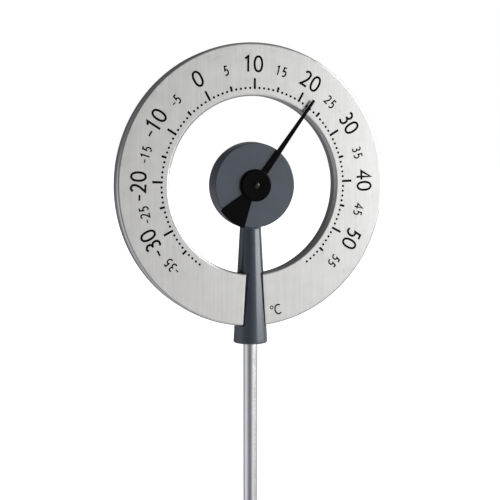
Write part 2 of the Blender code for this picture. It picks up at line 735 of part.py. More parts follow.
def make_rods():
    """Two tube sections that plug together on a joiner, and what closes the rod inside the neck."""
    inner = ROD_R - ROD_WALL
    fit = inner - GAP
    upper = tube("upper_rod", ROD_R, inner, ROD_SEAM, ROD_TOP, segments=ROD_SEGMENTS)
    node(upper, satin_aluminium, upper_axis)
    foot = COLLAR_THICK + GAP
    lower = tube("lower_rod", ROD_R, inner, foot, ROD_SEAM - 0.4, segments=ROD_SEGMENTS)
    node(lower, satin_aluminium, stake_axis)
    joiner = plug("rod_joiner", fit, ROD_SEAM - 40, ROD_SEAM + 40, segments=ROD_SEGMENTS, chamfer=1.0)
    node(joiner, slate_plastic, stake_axis)
    top = ROD_TOP
    cap = [(0, top + 1.7), (ROD_R - 0.4, top + 1.7), (ROD_R, top + 1.3), (ROD_R, top + GAP)]
    cap += [(fit, top + GAP), (fit, top - 13), (fit - 0.8, top - 14), (0, top - 14)]
    node(turned("rod_top_plug", cap, segments=ROD_SEGMENTS, ring=False), slate_plastic, upper_axis)


def make_socket():
    """Sleeve that the head turns in, and the rubber ring that gives its friction."""
    foot, bore = NECK_BOTTOM_Z + 0.4, ROD_R + RUNNING
    sleeve = tube("rod_sleeve", SLEEVE_R, bore, foot, SLEEVE_TOP, DIAL_CENTRE, segments=NECK_SEGMENTS)
    node(sleeve, dark_plastic, head_axis)
    section = arc((ROD_R + 1.0, SLEEVE_TOP + 1.6), 0.85, 360, 60, 5)
    node(turned("friction_ring", section, DIAL_CENTRE, UPRIGHT, ROD_SEGMENTS), rubber, head_axis)


def make_spike():
    """Moulded ground spike: spigot, collar that rests on the soil, and a cross-ribbed point."""
    fit = ROD_R - ROD_WALL - GAP
    profile = [
        (0, SPIGOT_TOP),
        (fit - 0.8, SPIGOT_TOP),
        (fit, SPIGOT_TOP - 0.8),
        (fit, COLLAR_THICK),
        (COLLAR_R - 0.8, COLLAR_THICK),
        (COLLAR_R, COLLAR_THICK - 0.8),
        (COLLAR_R, 0),
        (4.6, 0),
        (2.0, -SPIKE_LENGTH + 8),
        (0.6, -SPIKE_LENGTH),
        (0, -SPIKE_LENGTH),
    ]
    spike = turned("ground_spike", profile, segments=ROD_SEGMENTS, ring=False)
    wide, narrow, thick = FIN_HALF_WIDTH, FIN_TIP_HALF_WIDTH, FIN_HALF_THICK
    near_tip = -SPIKE_LENGTH + 9
    fin = [(-wide, 1.0), (wide, 1.0), (wide, -18.0), (narrow, near_tip), (-narrow, near_tip), (-wide, -18.0)]
    combine(spike, "UNION", slab("fin_across", fin, -thick, thick))
    combine(spike, "UNION", slab("fin_along", fin, -thick, thick, turn=(math.pi / 2, 0, math.pi / 2)))
    node(spike, slate_plastic, stake_axis)


# ---------------------------------------------------------------- build

clear_scene()
parts = new_collection("garden_thermometer")
cutters = new_collection("cutters")

brushed_metal = new_material("brushed_metal", (0.66, 0.66, 0.65), 0.42, 1.0)
slate_plastic = new_material("slate_plastic", (0.085, 0.102, 0.13), 0.3, 0.0)
dark_plastic = new_material("dark_plastic", (0.07, 0.07, 0.075), 0.45, 0.0)
black_plastic = new_material("black_plastic", (0.008, 0.008, 0.009), 0.5, 0.0)
satin_aluminium = new_material("satin_aluminium", (0.72, 0.72, 0.74), 0.3, 1.0)
zinc_steel = new_material("zinc_steel", (0.6, 0.61, 0.63), 0.3, 1.0)
brass = new_material("brass", (0.72, 0.55, 0.27), 0.3, 1.0)
bimetal = new_material("bimetal", (0.5, 0.48, 0.46), 0.35, 1.0)
rubber = new_material("rubber", (0.02, 0.02, 0.02), 0.75, 0.0)
tape_foam = new_material("tape_foam", (0.5, 0.5, 0.5), 0.9, 0.0)

stake_axis = new_axis("stake_axis", (0, 0, 0))
upper_axis = new_axis("upper_section_axis", (0, 0, ROD_SEAM), stake_axis)
head_axis = new_axis("head_swivel_axis", (0, 0, DIAL_Z + NECK_BOTTOM_Z), upper_axis)
calibration_axis = new_axis("calibration_axis", DIAL_CENTRE, head_axis)
pointer_axis = new_axis("pointer_axis", DIAL_CENTRE, calibration_axis)

make_dial_plate()
make_ring_carrier()
make_front_shell()
make_rear_shell()
make_vent_cover()
make_screws()
make_movement()
make_coil()
make_calibration()
make_arbor()
make_pointer()
make_socket()
make_rods()
make_spike()
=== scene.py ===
"""Looks for the garden stake thermometer: fine meshes, printed scale, materials, studio light and camera.

Every helper takes millimetres in the row frame (+Z up, the dial faces -Y) and writes metres. Dial pieces are
given as (radius, front) about the dial axis, where front is the distance towards the reader.
"""

import json
import math

import bmesh
import bpy
from mathutils import Matrix, Vector


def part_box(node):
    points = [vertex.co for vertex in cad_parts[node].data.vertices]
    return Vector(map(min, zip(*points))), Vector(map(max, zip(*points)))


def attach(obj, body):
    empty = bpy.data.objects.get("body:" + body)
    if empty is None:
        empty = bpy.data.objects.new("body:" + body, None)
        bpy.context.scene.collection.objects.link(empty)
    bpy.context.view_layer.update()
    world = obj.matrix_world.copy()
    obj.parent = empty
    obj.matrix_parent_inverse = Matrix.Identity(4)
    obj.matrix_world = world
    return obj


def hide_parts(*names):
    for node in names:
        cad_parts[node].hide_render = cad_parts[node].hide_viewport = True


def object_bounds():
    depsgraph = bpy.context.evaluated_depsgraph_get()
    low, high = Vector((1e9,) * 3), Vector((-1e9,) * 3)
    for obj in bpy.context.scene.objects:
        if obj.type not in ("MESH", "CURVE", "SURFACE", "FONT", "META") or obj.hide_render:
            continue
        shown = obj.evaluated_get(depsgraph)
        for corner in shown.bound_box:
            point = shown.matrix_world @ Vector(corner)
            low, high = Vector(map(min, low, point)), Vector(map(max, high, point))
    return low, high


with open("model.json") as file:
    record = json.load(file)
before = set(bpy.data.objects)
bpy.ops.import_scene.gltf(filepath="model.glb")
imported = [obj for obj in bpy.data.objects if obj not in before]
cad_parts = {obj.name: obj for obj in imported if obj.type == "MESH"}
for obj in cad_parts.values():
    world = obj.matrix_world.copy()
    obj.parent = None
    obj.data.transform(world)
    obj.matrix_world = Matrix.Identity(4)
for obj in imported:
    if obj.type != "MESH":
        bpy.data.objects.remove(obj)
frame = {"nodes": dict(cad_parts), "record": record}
cad_low, cad_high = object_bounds()


# ---------------------------------------------------------------- sizes from the frame, in millimetres


def low_of(node):
    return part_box(node)[0] * 1000


def high_of(node):
    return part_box(node)[1] * 1000


DIAL_Z = (low_of("arbor").z + high_of("arbor").z) / 2
RING_OUTER = high_of("dial_plate").x
RING_FACE = -low_of("dial_plate").y
LIP_END = -high_of("dial_plate").y
RING_BACK = -high_of("ring_carrier").y
NECK_BOTTOM = low_of("front_shell").z - DIAL_Z
ROD_TOP = high_of("upper_rod").z
ROD_SEAM = low_of("upper_rod").z
LOWER_TOP = high_of("lower_rod").z
LOWER_FOOT = low_of("lower_rod").z
ROD_R = high_of("upper_rod").x
COLLAR_R = high_of("ground_spike").x
SPIKE_TIP = low_of("ground_spike").z

# Dial ring
RING_INNER = 78.0
SHEET = 1.0
EDGE_ROUND = 3.0
END_CORNER = 1.2
END_EDGE = 0.22
SLOT_HALF_INNER = 7.8
SLOT_HALF_OUTER = 10.6
SLOT_SLOPE = (SLOT_HALF_OUTER - SLOT_HALF_INNER) / (RING_OUTER - RING_INNER)
SLOT_HALF_AT_AXIS = SLOT_HALF_INNER - SLOT_SLOPE * RING_INNER
# Channel behind the face: its walls, the rib that carries the tape and the two rear rails.
PLAY = 0.3
CHANNEL_WALL = 2.2
CHANNEL_FLOOR = 2.0
CHANNEL_ROUND = 1.9
RIB_MIDDLE = 101.0
RIB_HALF = 1.6
TAPE_HALF = 3.2
TAPE_DROP = 0.9
RAIL_TAPER = 0.6
RAIL_HEIGHT = 0.6
RAIL_ROUND = 0.9
# How far the rails reach from the ring's edges, at their top and at their foot.
OUTER_RAIL = (6.5, 7.2)
INNER_RAIL = (6.3, 7.0)

# Hub and neck
HUB_HALF_DEPTH = 12.2
HUB_WALL = 2.0
HUB_INSIDE = HUB_HALF_DEPTH - HUB_WALL
HUB_FACE_R = 37.1
HUB_WIDEST_R = 38.2
CAVITY_R = 34.8
CAVITY_FRONT_R = 34.2
CAVITY_BACK_R = 30.0
NECK_TOP = -38.0
NECK_TOP_R = 9.45
NECK_FLARE = 0.0568
NECK_ROOT_ROUND = 1.6
NECK_ROOT_SINK = 0.15
NECK_INTO_DRUM = 5.0
NECK_POINT = -25.0
NECK_FOOT = 6.0
NECK_FOOT_ROUND = 1.5
PARTING = 0.15
# The notch that takes the ring's ends, and the ledge beside the neck in front of it.
NOTCH_PLAY_R = 0.5
NOTCH_PLAY = 0.4
NOTCH_OVERLAP = 0.5
LEDGE_FRONT = 8.5
LEDGE_TOP = (5.4, 0.7 - RING_INNER)
LEDGE_FOOT = (9.6, -0.1 - RING_OUTER)
LEDGE_SIDE = 30.0
ARBOR_ROOM_R = 4.5
SLEEVE_TOP = -105.0
ROD_PLAY = 0.3
# How far cutters run past a joint face, past the hub's back and past the whole piece.
CUT_PAST = 2.0
BEYOND_HUB = 20.0
BEYOND_PIECE = 200.0

# Screws and the bosses that take them
POST_CIRCLE = 19.2
POST_ANGLES = (30, 150, 270)
HUB_SCREW_CIRCLE = 28.0
HUB_SCREW_ANGLES = (90, 210, 330)
NECK_SCREW_AT = (10.2, -132.5)
HUB_BOSS_R = 4.4
PAD_R = 3.0
PAD_HEIGHT = 1.3
BOSS_ROOT = 0.8
HUB_PILOT_R = 1.45
HUB_PILOT_END = 7.0
PAD_PILOT_R = 1.3
NECK_PILOT_R = 1.2
NECK_PILOT_END = 6.0
# Clearance hole radius, counterbore radius and seat depth.
HUB_SCREW_WAY = (1.6, 3.2, 8.4)
NECK_SCREW_WAY = (1.2, 2.3, 5.0)
BUSH_HOLE_R = 2.7

# Vent cover and calibration dial
COVER_OUTSIDE = HUB_HALF_DEPTH - 0.2
COVER_R = 20.0
COVER_WALL = 1.6
FLANGE_R = 22.6
FLANGE_THICK = 1.5
KNOB_SHAFT_R = 2.2
KNOB_HOLE_R = 2.26
KNOB_R = 5.4
KNOB_BACK = -12.0
KNOB_SEAT = -10.9
KNOB_SHAFT_END = -6.9
RECESS_R = 5.8
RECESS_SEAT = -10.6
RECESS_WALL = 1.0
RECESS_WALL_FOOT = 1.7
VENT_COUNT = 10
VENT_HALF = 1.1
VENT_FROM = 10.1
VENT_TO = 15.4

# Pointer
BOSS_R = 14.1
BOSS_BACK = 12.8
BOSS_FRONT = 15.5
BOSS_DISH = 0.4
BOSS_SHOULDER = 0.6
BOSS_FACE_INSET = 1.2
SHAFT_HOLE_R = 1.05
TIP_R = 92.6
ARM_ROOT_R = 8.0
ARM_ROOT_WIDTH = 6.0
ARM_TIP_WIDTH = 2.4
ARM_LEVELS = (13.1, 14.3)
SECTOR_R = 39.0
SECTOR_HALF_ANGLE = 20
SECTOR_LEVELS = (13.0, 14.7)
CAP_R = 2.8
CAP_HEIGHT = 1.0
CAP_GAP = 0.2

# Ground spike
SPIGOT_R = ROD_R - 1.3
SPIGOT_TOP = 60.0
COLLAR_THICK = 4.0
FIN_HALF = 10.0
FIN_SHOULDER = -18.0
FIN_TIP_HALF = 2.4
FIN_THICK_HALF = 1.2
FIN_ROOT = 1.0
FIN_END = SPIKE_TIP + 9.0
CORE_ROOT_R = 4.6
CORE_WAIST_R = 2.0
CORE_WAIST = SPIKE_TIP + 8.0
CORE_TIP_R = 0.6

# Printed scale
DOT_CIRCLE = 85.0
DOT_R = 1.06
TICK_START = 84.0
BIG_TICK_END = 93.4
SMALL_TICK_END = 88.7
TICK_HALF = 1.0
PER_DEGREE = 2.93
TOP_VALUE = 10
SCALE_TURN = -0.28
READING = 22.46
HEADING = 90 - (READING - TOP_VALUE) * PER_DEGREE
NUMBERS = range(-35, 56, 5)
DOTS = range(-39, 60)
# The print stands a little proud of the face and starts a little inside it. A digit's second stroke stands
# higher, so that two strokes never share a face.
INK = 0.06
INK_SINK = 0.03
STROKE_LIFT = 0.004
TEXT_BASE = 98.4
# The unit mark: its place, its turn in degrees, and the small ring and the open letter with their strokes.
UNIT_AT = (20.4, -110.7)
UNIT_TURN = 11
DEGREE_AT = (-3.5, 2.9)
DEGREE_R = 1.35
DEGREE_STROKE = 0.85
LETTER_AT = (2.5, 0.0)
LETTER_HALF = (3.2, 4.1)
LETTER_OPENING = 52
LETTER_STROKE = 1.3
# Digit height, width and stroke, and the step from one digit to the next.
BIG_PRINT = (14.8, 9.0, 1.95, 9.85)
SMALL_PRINT = (8.9, 5.4, 1.3, 5.95)
# The one sits a little left. The minus sign's gap, length, height and stroke follow the digits' size.
ONE_SHIFT = 0.09
MINUS_GAP = 0.16
MINUS_LENGTH = 0.56
MINUS_HEIGHT = 0.4
MINUS_STROKE = 0.8
# How far each number sits from the middle of its tick, along the circle.
NUMBER_SHIFT = {
    -35: 0.5, -30: 1.6, -25: -0.2, -20: -0.6, -15: -0.9, -10: 1.1, -5: 0.5, 0: -0.8, 5: -0.6, 10: -1.7,
    15: -1.2, 20: 1.3, 25: 0.6, 30: 0.0, 35: 1.0, 40: 0.3, 45: 0.3, 50: 0.4, 55: -0.3,
}

# Steps round a turned piece
FINE = 192
ROUND = 96
SMALL = 48
TINY = 1e-6
# The largest share of an edge that a rounding takes, and the least cosine that a mitre follows.
EDGE_SHARE = 0.49
MITRE_LEAST = 0.45


# ---------------------------------------------------------------- mesh helpers


def about_dial(radius, angle, front):
    """A point about the dial axis. Angle 0 is +X and 90 degrees is up."""
    return radius * math.cos(angle), -front, DIAL_Z + radius * math.sin(angle)


def about_rod(radius, angle, height):
    return radius * math.cos(angle), radius * math.sin(angle), height


def about(centre_x, centre_z):
    """Like about_dial, round a parallel axis through a place relative to the dial centre."""
    def place(radius, angle, front):
        return centre_x + radius * math.cos(angle), -front, DIAL_Z + centre_z + radius * math.sin(angle)
    return place


def polar(radius, degrees):
    return radius * math.cos(math.radians(degrees)), radius * math.sin(math.radians(degrees))


def metres(point):
    return Vector(point) / 1000


def new_object(name, work):
    """Turns a bmesh into an object with faces that point out."""
    bmesh.ops.recalc_face_normals(work, faces=work.faces)
    mesh = bpy.data.meshes.new(name)
    work.to_mesh(mesh)
    work.free()
    made = bpy.data.objects.new(name, mesh)
    bpy.context.scene.collection.objects.link(made)
    return made


def rounded(corners, steps=5):
    """A closed outline from corners (x, y) or (x, y, radius): each radius becomes an arc."""
    points = []
    for i, corner in enumerate(corners):
        here = Vector(corner[:2])
        radius = corner[2] if len(corner) > 2 else 0
        before = Vector(corners[i - 1][:2]) - here
        after = Vector(corners[(i + 1) % len(corners)][:2]) - here
        if not radius or before.length < TINY or after.length < TINY:
            points.append(tuple(here))
            continue
        half = before.angle(after) / 2
        reach = min(radius / math.tan(half), EDGE_SHARE * before.length, EDGE_SHARE * after.length)
        radius = reach * math.tan(half)
        middle = here + (before.normalized() + after.normalized()).normalized() * (radius / math.sin(half))
        first = here + before.normalized() * reach - middle
        last = here + after.normalized() * reach - middle
        start = math.atan2(first.y, first.x)
        turn = (math.atan2(last.y, last.x) - start + math.pi) % (2 * math.pi) - math.pi
        for k in range(steps + 1):
            angle = start + turn * k / steps
            points.append((middle.x + radius * math.cos(angle), middle.y + radius * math.sin(angle)))
    return points


def turned(name, corners, place=about_dial, steps=ROUND, soft=5):
    """A turned solid from profile corners (radius, along, rounding). It may begin and end on the axis."""
    work = bmesh.new()
    rows = []
    for radius, along in rounded(corners, soft):
        count = 1 if radius < TINY else steps
        ring = [metres(place(radius, 2 * math.pi * k / steps, along)) for k in range(count)]
        rows.append([work.verts.new(p) for p in ring])
    on_axis = len(rows[0]) == 1
    for a, b in zip(rows, rows[1:] if on_axis else rows[1:] + rows[:1]):
        for k in range(steps):
            n = k + 1
            ring = [a[k % len(a)], a[n % len(a)], b[n % len(b)], b[k % len(b)]]
            corners_used = list(dict.fromkeys(ring))
            if len(corners_used) > 2:
                work.faces.new(corners_used)
    return new_object(name, work)


def pin(name, radius, front, back, place=about_dial, steps=SMALL):
    """A plain round pin between two front distances, to cut with or to join."""
    return turned(name, [(0, front), (radius, front), (radius, back), (0, back)], place, steps)


def slot_angle(radius, widen=0.0):
    """Half of the angle that the ring's tapered slot takes at a radius."""
    half_at_axis = SLOT_HALF_AT_AXIS + widen
    return math.atan(SLOT_SLOPE) + math.asin(half_at_axis / (radius * math.hypot(1, SLOT_SLOPE)))


def slotted(name, corners, widen=0.0, steps=FINE, soft=6, corner=0.0):
    """A turned ring that stops at the slot at its foot. Both ends are closed and may have round corners."""
    work = bmesh.new()
    columns = []
    profile = rounded(corners, soft)
    for k in range(steps + 1):
        column = []
        for radius, front in profile:
            gap = slot_angle(radius, widen)
            if corner:
                beyond = corner - min(corner, radius - RING_INNER, RING_OUTER - radius)
                gap += (corner - math.sqrt(max(0.0, corner ** 2 - beyond ** 2))) / radius
            angle = -math.pi / 2 + gap + (2 * math.pi - 2 * gap) * k / steps
            column.append(work.verts.new(metres(about_dial(radius, angle, front))))
        columns.append(column)
    count = len(profile)
    for a, b in zip(columns, columns[1:]):
        for i in range(count):
            n = (i + 1) % count
            work.faces.new((a[i], a[n], b[n], b[i]))
    work.faces.new(columns[0])
    work.faces.new(columns[-1])
    return new_object(name, work)


def on_dial(point, front):
    """A flat point (x, z about the dial centre) at a front distance."""
    return point[0], -front, DIAL_Z + point[1]


def add_prism(work, outline, low, high, place=on_dial):
    """Adds a flat outline with thickness between two front distances."""
    below, above = [[work.verts.new(metres(place(p, front))) for p in outline] for front in (low, high)]
    for a, b, c, d in zip(below, below[1:] + below[:1], above[1:] + above[:1], above):
        work.faces.new((a, b, c, d))
    work.faces.new(below)
    work.faces.new(above)


def slab(name, outline, low, high, turn=0.0, place=on_dial):
    """A prism as an object of its own, its outline turned by some degrees first."""
    work = bmesh.new()
    spin = Matrix.Rotation(math.radians(turn), 2)
    add_prism(work, [spin @ Vector(p) for p in outline], low, high, place)
    return new_object(name, work)


def box(name, low, high):
    """A cutter box between two corners, relative to the dial centre."""
    work = bmesh.new()
    size = Vector(high) - Vector(low)
    middle = (Vector(high) + Vector(low)) / 2 + Vector((0, 0, DIAL_Z))
    move = Matrix.Translation(middle / 1000) @ Matrix.Diagonal((*(size / 1000), 1))
    bmesh.ops.create_cube(work, size=1, matrix=move)
    return new_object(name, work)


def settle(obj):
    """Applies obj's modifiers."""
    bpy.context.view_layer.update()
    graph = bpy.context.evaluated_depsgraph_get()
    mesh = bpy.data.meshes.new_from_object(obj.evaluated_get(graph))
    obj.modifiers.clear()
    obj.data = mesh
    return obj


def combine(obj, operation, *others):
    """Cuts or joins obj by other shapes, which are used up."""
    for other in others:
        boolean = obj.modifiers.new(other.name, "BOOLEAN")
        boolean.operation = operation
        boolean.solver = "MANIFOLD"
        boolean.object = other
        settle(obj)
        bpy.data.objects.remove(other, do_unlink=True)
    return obj


def cut(obj, *others):
    return combine(obj, "DIFFERENCE", *others)


def join(obj, *others):
    return combine(obj, "UNION", *others)


def ease_edges(obj, width, angle=50, segments=2):
    """Small rounds on the sharp edges."""
    bevel = obj.modifiers.new("Edges", "BEVEL")
    bevel.width = width / 1000
    bevel.segments = segments
    bevel.limit_method = "ANGLE"
    bevel.angle_limit = math.radians(angle)
    bevel.miter_outer = "MITER_ARC"
    return settle(obj)


def piece(obj, body, material, slot, *nodes, sharp=38):
    """Makes obj a finished piece: shading, material, the body it rides on and the CAD nodes it stands for."""
    obj.data.shade_smooth()
    obj.data.set_sharp_from_angle(angle=math.radians(sharp))
    weighted = obj.modifiers.new("Normals", "WEIGHTED_NORMAL")
    weighted.keep_sharp = True
    settle(obj)
    obj.data.materials.clear()
    obj.data.materials.append(material)
    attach(obj, body)
    if nodes:
        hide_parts(*nodes)
    return obj


# ---------------------------------------------------------------- materials


def add_node(tree, kind, inputs=(), **settings):
    """A shader node. An input is a number, a colour or another node's output socket."""
    made = tree.nodes.new(kind)
    for key, value in settings.items():
        setattr(made, key, value)
    for key, value in dict(inputs).items():
        if isinstance(value, bpy.types.NodeSocket):
            tree.links.new(value, made.inputs[key])
        else:
            made.inputs[key].default_value = value
    return made


def math_node(tree, operation, a, b=0.0, c=0.0, **settings):
    """A maths node's result. What isn't a socket is a plain number."""
    made = add_node(tree, "ShaderNodeMath", {0: a, 1: b, 2: c}, operation=operation, **settings)
    return made.outputs["Value"]


def noise(tree, where, stretch, scale, detail=3.0):
    """Noise per metre of the object's own space, stretched by a scale on each axis."""
    mapping = add_node(tree, "ShaderNodeMapping", {"Vector": where, "Scale": stretch})
    kinds = {"Vector": mapping.outputs["Vector"], "Scale": scale, "Detail": detail, "Roughness": 0.6}
    return add_node(tree, "ShaderNodeTexNoise", kinds).outputs["Fac"]


def spread(tree, value, low, high, middle=0.5, half=0.2):
    """Maps noise from middle - half .. middle + half to low .. high."""
    start, end = middle - half, middle + half
    inputs = {"Value": value, "From Min": start, "From Max": end, "To Min": low, "To Max": high}
    return add_node(tree, "ShaderNodeMapRange", inputs).outputs["Result"]


# Numbers of the colour sockets on a Mix node, whose names aren't unique.
MIX_FACTOR, MIX_A, MIX_B, MIX_RESULT = 0, 6, 7, 2
# Middle and half width of the sum of two noises.
SUM_MIDDLE, SUM_HALF = 1.0, 0.35


def surface(
    name,
    tones,
    rough,
    grain,
    metallic=0.0,
    stretch=(1, 1, 1),
    relief=0.00002,
    cloud=60,
    lines=0.0,
    specular=0.5,
):
    """A procedural finish: two tones and a roughness range that drift over the piece, with a fine grain.

    grain is the fine noise's scale per metre, relief its height in metres, cloud the slow drift's scale, and
    lines the strength of a coarser set of the same lines.
    """
    material = bpy.data.materials.new(name)
    material.use_nodes = True
    tree = material.node_tree
    shader = tree.nodes["Principled BSDF"]
    shader.inputs["Metallic"].default_value = metallic
    shader.inputs["Specular IOR Level"].default_value = specular
    where = add_node(tree, "ShaderNodeTexCoord").outputs["Object"]
    fine = noise(tree, where, stretch, grain)
    slow = noise(tree, where, (1, 1, 1), cloud, 2.0)
    both = math_node(tree, "ADD", fine, slow)
    share = spread(tree, both, 0.0, 1.0, SUM_MIDDLE, SUM_HALF)
    if lines:
        coarse = spread(tree, noise(tree, where, stretch, grain / 3, 2.0), -lines, lines)
        share = math_node(tree, "ADD", share, coarse, use_clamp=True)
    first, second = [(*tone, 1) for tone in tones]
    tone_inputs = {MIX_FACTOR: share, MIX_A: first, MIX_B: second}
    mix = add_node(tree, "ShaderNodeMix", tone_inputs, data_type="RGBA")
    tree.links.new(mix.outputs[MIX_RESULT], shader.inputs["Base Color"])
    tree.links.new(spread(tree, both, *rough, SUM_MIDDLE, SUM_HALF), shader.inputs["Roughness"])
    bump = add_node(tree, "ShaderNodeBump", {"Height": fine, "Distance": relief, "Strength": 1.0})
    tree.links.new(bump.outputs["Normal"], shader.inputs["Normal"])
    return material


BLACK_TONES = ((0.001, 0.001, 0.001), (0.0025, 0.0025, 0.0025))
brushed = surface(
    "brushed_metal",
    ((0.455, 0.448, 0.436), (0.515, 0.51, 0.496)),
    (0.27, 0.35),
    2800,
    metallic=1.0,
    stretch=(1, 1, 0.016),
    relief=0.00001,
    cloud=90,
    lines=0.4,
)
slate = surface(
    "slate_plastic",
    ((0.04, 0.049, 0.068), (0.049, 0.059, 0.081)),
    (0.14, 0.22),
    1800,
    relief=0.000003,
    specular=0.55,
)
dark = surface(
    "dark_plastic",
    ((0.13, 0.129, 0.126), (0.16, 0.158, 0.155)),
    (0.38, 0.5),
    1500,
    relief=0.00001,
)
black = surface("black_plastic", BLACK_TONES, (0.36, 0.48), 2200, relief=0.000004, specular=0.03)
glossy_black = surface("glossy_black", BLACK_TONES, (0.16, 0.22), 2200, relief=0.000002, specular=0.3)
ink = surface(
    "scale_ink",
    ((0.003, 0.002, 0.002), (0.006, 0.004, 0.004)),
    (0.5, 0.62),
    2500,
    relief=0.000004,
    specular=0.03,
)
satin = surface(
    "satin_tube",
    ((0.52, 0.52, 0.535), (0.59, 0.59, 0.605)),
    (0.2, 0.28),
    3000,
    metallic=1.0,
    stretch=(1, 1, 0.02),
    relief=0.000006,
    cloud=40,
)
steel = surface(
    "zinc_steel",
    ((0.5, 0.51, 0.53), (0.66, 0.67, 0.69)),
    (0.22, 0.36),
    900,
    metallic=1.0,
    relief=0.00001,
    cloud=300,
)
brass = surface(
    "brass",
    ((0.62, 0.45, 0.19), (0.76, 0.58, 0.28)),
    (0.2, 0.36),
    700,
    metallic=1.0,
    relief=0.00001,
    cloud=150,
)
bimetal = surface(
    "bimetal",
    ((0.42, 0.4, 0.37), (0.56, 0.54, 0.5)),
    (0.26, 0.4),
    1200,
    metallic=1.0,
    stretch=(1, 0.05, 1),
    relief=0.000008,
)
rubber = surface("rubber", ((0.014, 0.014, 0.014), (0.026, 0.026, 0.026)), (0.62, 0.8), 1600, relief=0.00003)
foam = surface("tape_foam", ((0.42, 0.42, 0.42), (0.58, 0.58, 0.58)), (0.8, 0.95), 1800, relief=0.00008)
FINISHES = {
    "brushed_face": brushed,
    "slate_plastic": slate,
    "dark_plastic": dark,
    "black_plastic": black,
    "satin_tube": satin,
    "zinc_steel": steel,
    "brass": brass,
    "bimetal": bimetal,
    "rubber": rubber,
    "tape": foam,
}


def dress_cad_nodes():
    """Gives every CAD node the finish of its slot, for the inner pieces that no finer mesh stands for."""
    for row in frame["record"]["subparts"]:
        for place in frame["nodes"][row["node"]].material_slots:
            place.material = FINISHES[row["material_slot"]]


# ---------------------------------------------------------------- dial ring


def make_ring():
    """Sheet face with rolled edges, and the moulded channel behind it."""
    plate = slotted(
        "ring_face",
        [
            (RING_OUTER, LIP_END),
            (RING_OUTER, RING_FACE, EDGE_ROUND),
            (RING_INNER, RING_FACE, EDGE_ROUND),
            (RING_INNER, LIP_END),
            (RING_INNER + SHEET, LIP_END),
            (RING_INNER + SHEET, RING_FACE - SHEET, EDGE_ROUND - SHEET),
            (RING_OUTER - SHEET, RING_FACE - SHEET, EDGE_ROUND - SHEET),
            (RING_OUTER - SHEET, LIP_END),
        ],
        steps=FINE * 2,
        corner=END_CORNER,
    )
    ease_edges(plate, END_EDGE, 60)
    piece(plate, "head", brushed, "brushed_face", "dial_plate")

    top = RING_FACE - SHEET - PLAY
    shoulder = LIP_END - PLAY
    rim_in, rim_out = RING_INNER + SHEET + PLAY, RING_OUTER - SHEET - PLAY
    rail_foot = RING_BACK + RAIL_HEIGHT
    body = slotted(
        "ring_channel",
        [
            (rim_out, top, CHANNEL_ROUND),
            (rim_out, shoulder),
            (RING_OUTER - PLAY, shoulder, 0.25),
            (RING_OUTER - RAIL_TAPER, RING_BACK, RAIL_ROUND),
            (RING_OUTER - OUTER_RAIL[0], RING_BACK, 0.4),
            (RING_OUTER - OUTER_RAIL[1], rail_foot, 0.3),
            (RING_INNER + INNER_RAIL[1], rail_foot, 0.3),
            (RING_INNER + INNER_RAIL[0], RING_BACK, 0.4),
            (RING_INNER + RAIL_TAPER, RING_BACK, RAIL_ROUND),
            (RING_INNER + 0.2, shoulder, 0.25),
            (rim_in, shoulder),
            (rim_in, top, CHANNEL_ROUND),
        ],
    )
    floor = RING_BACK + CHANNEL_FLOOR
    above = top + 5
    for name, inner, outer in (
        ("in_lane", rim_in + CHANNEL_WALL, RIB_MIDDLE - RIB_HALF),
        ("out_lane", RIB_MIDDLE + RIB_HALF, rim_out - CHANNEL_WALL),
    ):
        lane = [(outer, above), (outer, floor, 0.6), (inner, floor, 0.6), (inner, above)]
        cut(body, slotted(name, lane, CHANNEL_WALL))
    tape_in, tape_out = RIB_MIDDLE - TAPE_HALF, RIB_MIDDLE + TAPE_HALF
    rib_top = top - TAPE_DROP
    over_rib = [(tape_out, top + 4), (tape_out, rib_top), (tape_in, rib_top), (tape_in, top + 4)]
    cut(body, slotted("over_rib", over_rib, -NOTCH_OVERLAP))
    piece(body, "head", dark, "dark_plastic", "ring_carrier")


# ---------------------------------------------------------------- printed scale


def on_ring(angle, radial, across):
    """A place on the ring's face: radial from the dial centre along angle, across to the text's right."""
    a = math.radians(angle)
    return radial * math.cos(a) + across * math.sin(a), radial * math.sin(a) - across * math.cos(a)


def at_celsius(value):
    """Angle of a temperature on the scale, in degrees about the dial axis."""
    return 90 - (value - TOP_VALUE) * PER_DEGREE + SCALE_TURN


def print_prism(work, outline):
    """Adds one flat printed shape, a little proud of the face."""
    add_prism(work, outline, RING_FACE - INK_SINK, RING_FACE + INK)


def print_ribbon(work, path, width, put, closed=False, lift=0.0):
    """Adds a printed stroke of even width along a path, with mitred corners."""
    points = [Vector(p) for p in path]
    count = len(points)
    sides = []
    for i, here in enumerate(points):
        before = here - points[i - 1] if closed or i else points[1] - here
        after = points[(i + 1) % count] - here if closed or i < count - 1 else before
        a, b = before.normalized(), after.normalized()
        bisector = Vector((-a.y - b.y, a.x + b.x))
        bisector.normalize()
        reach = width / 2 / max(bisector.dot(Vector((-a.y, a.x))), MITRE_LEAST)
        sides.append((here + bisector * reach, here - bisector * reach))
    low, high = RING_FACE - INK_SINK, RING_FACE + INK + lift
    rows = []
    for left, right in sides:
        one, other = put(*left), put(*right)
        ring = [(one, low), (one, high), (other, high), (other, low)]
        rows.append([work.verts.new(metres(on_dial(spot, front))) for spot, front in ring])
    spans = zip(rows, rows[1:] + rows[:1]) if closed else zip(rows, rows[1:])
    for a, b in spans:
        for i in range(4):
            n = (i + 1) % 4
            work.faces.new((a[i], a[n], b[n], b[i]))
    if not closed:
        work.faces.new(rows[0])
        work.faces.new(rows[-1])


def span_at(t, p, q, r, s):
    """One coordinate of a Catmull-Rom span between q and r, at the share t."""
    square, cube = 2 * p - 5 * q + 4 * r - s, 3 * q - p - 3 * r + s
    return 0.5 * (2 * q + (r - p) * t + square * t * t + cube * t ** 3)


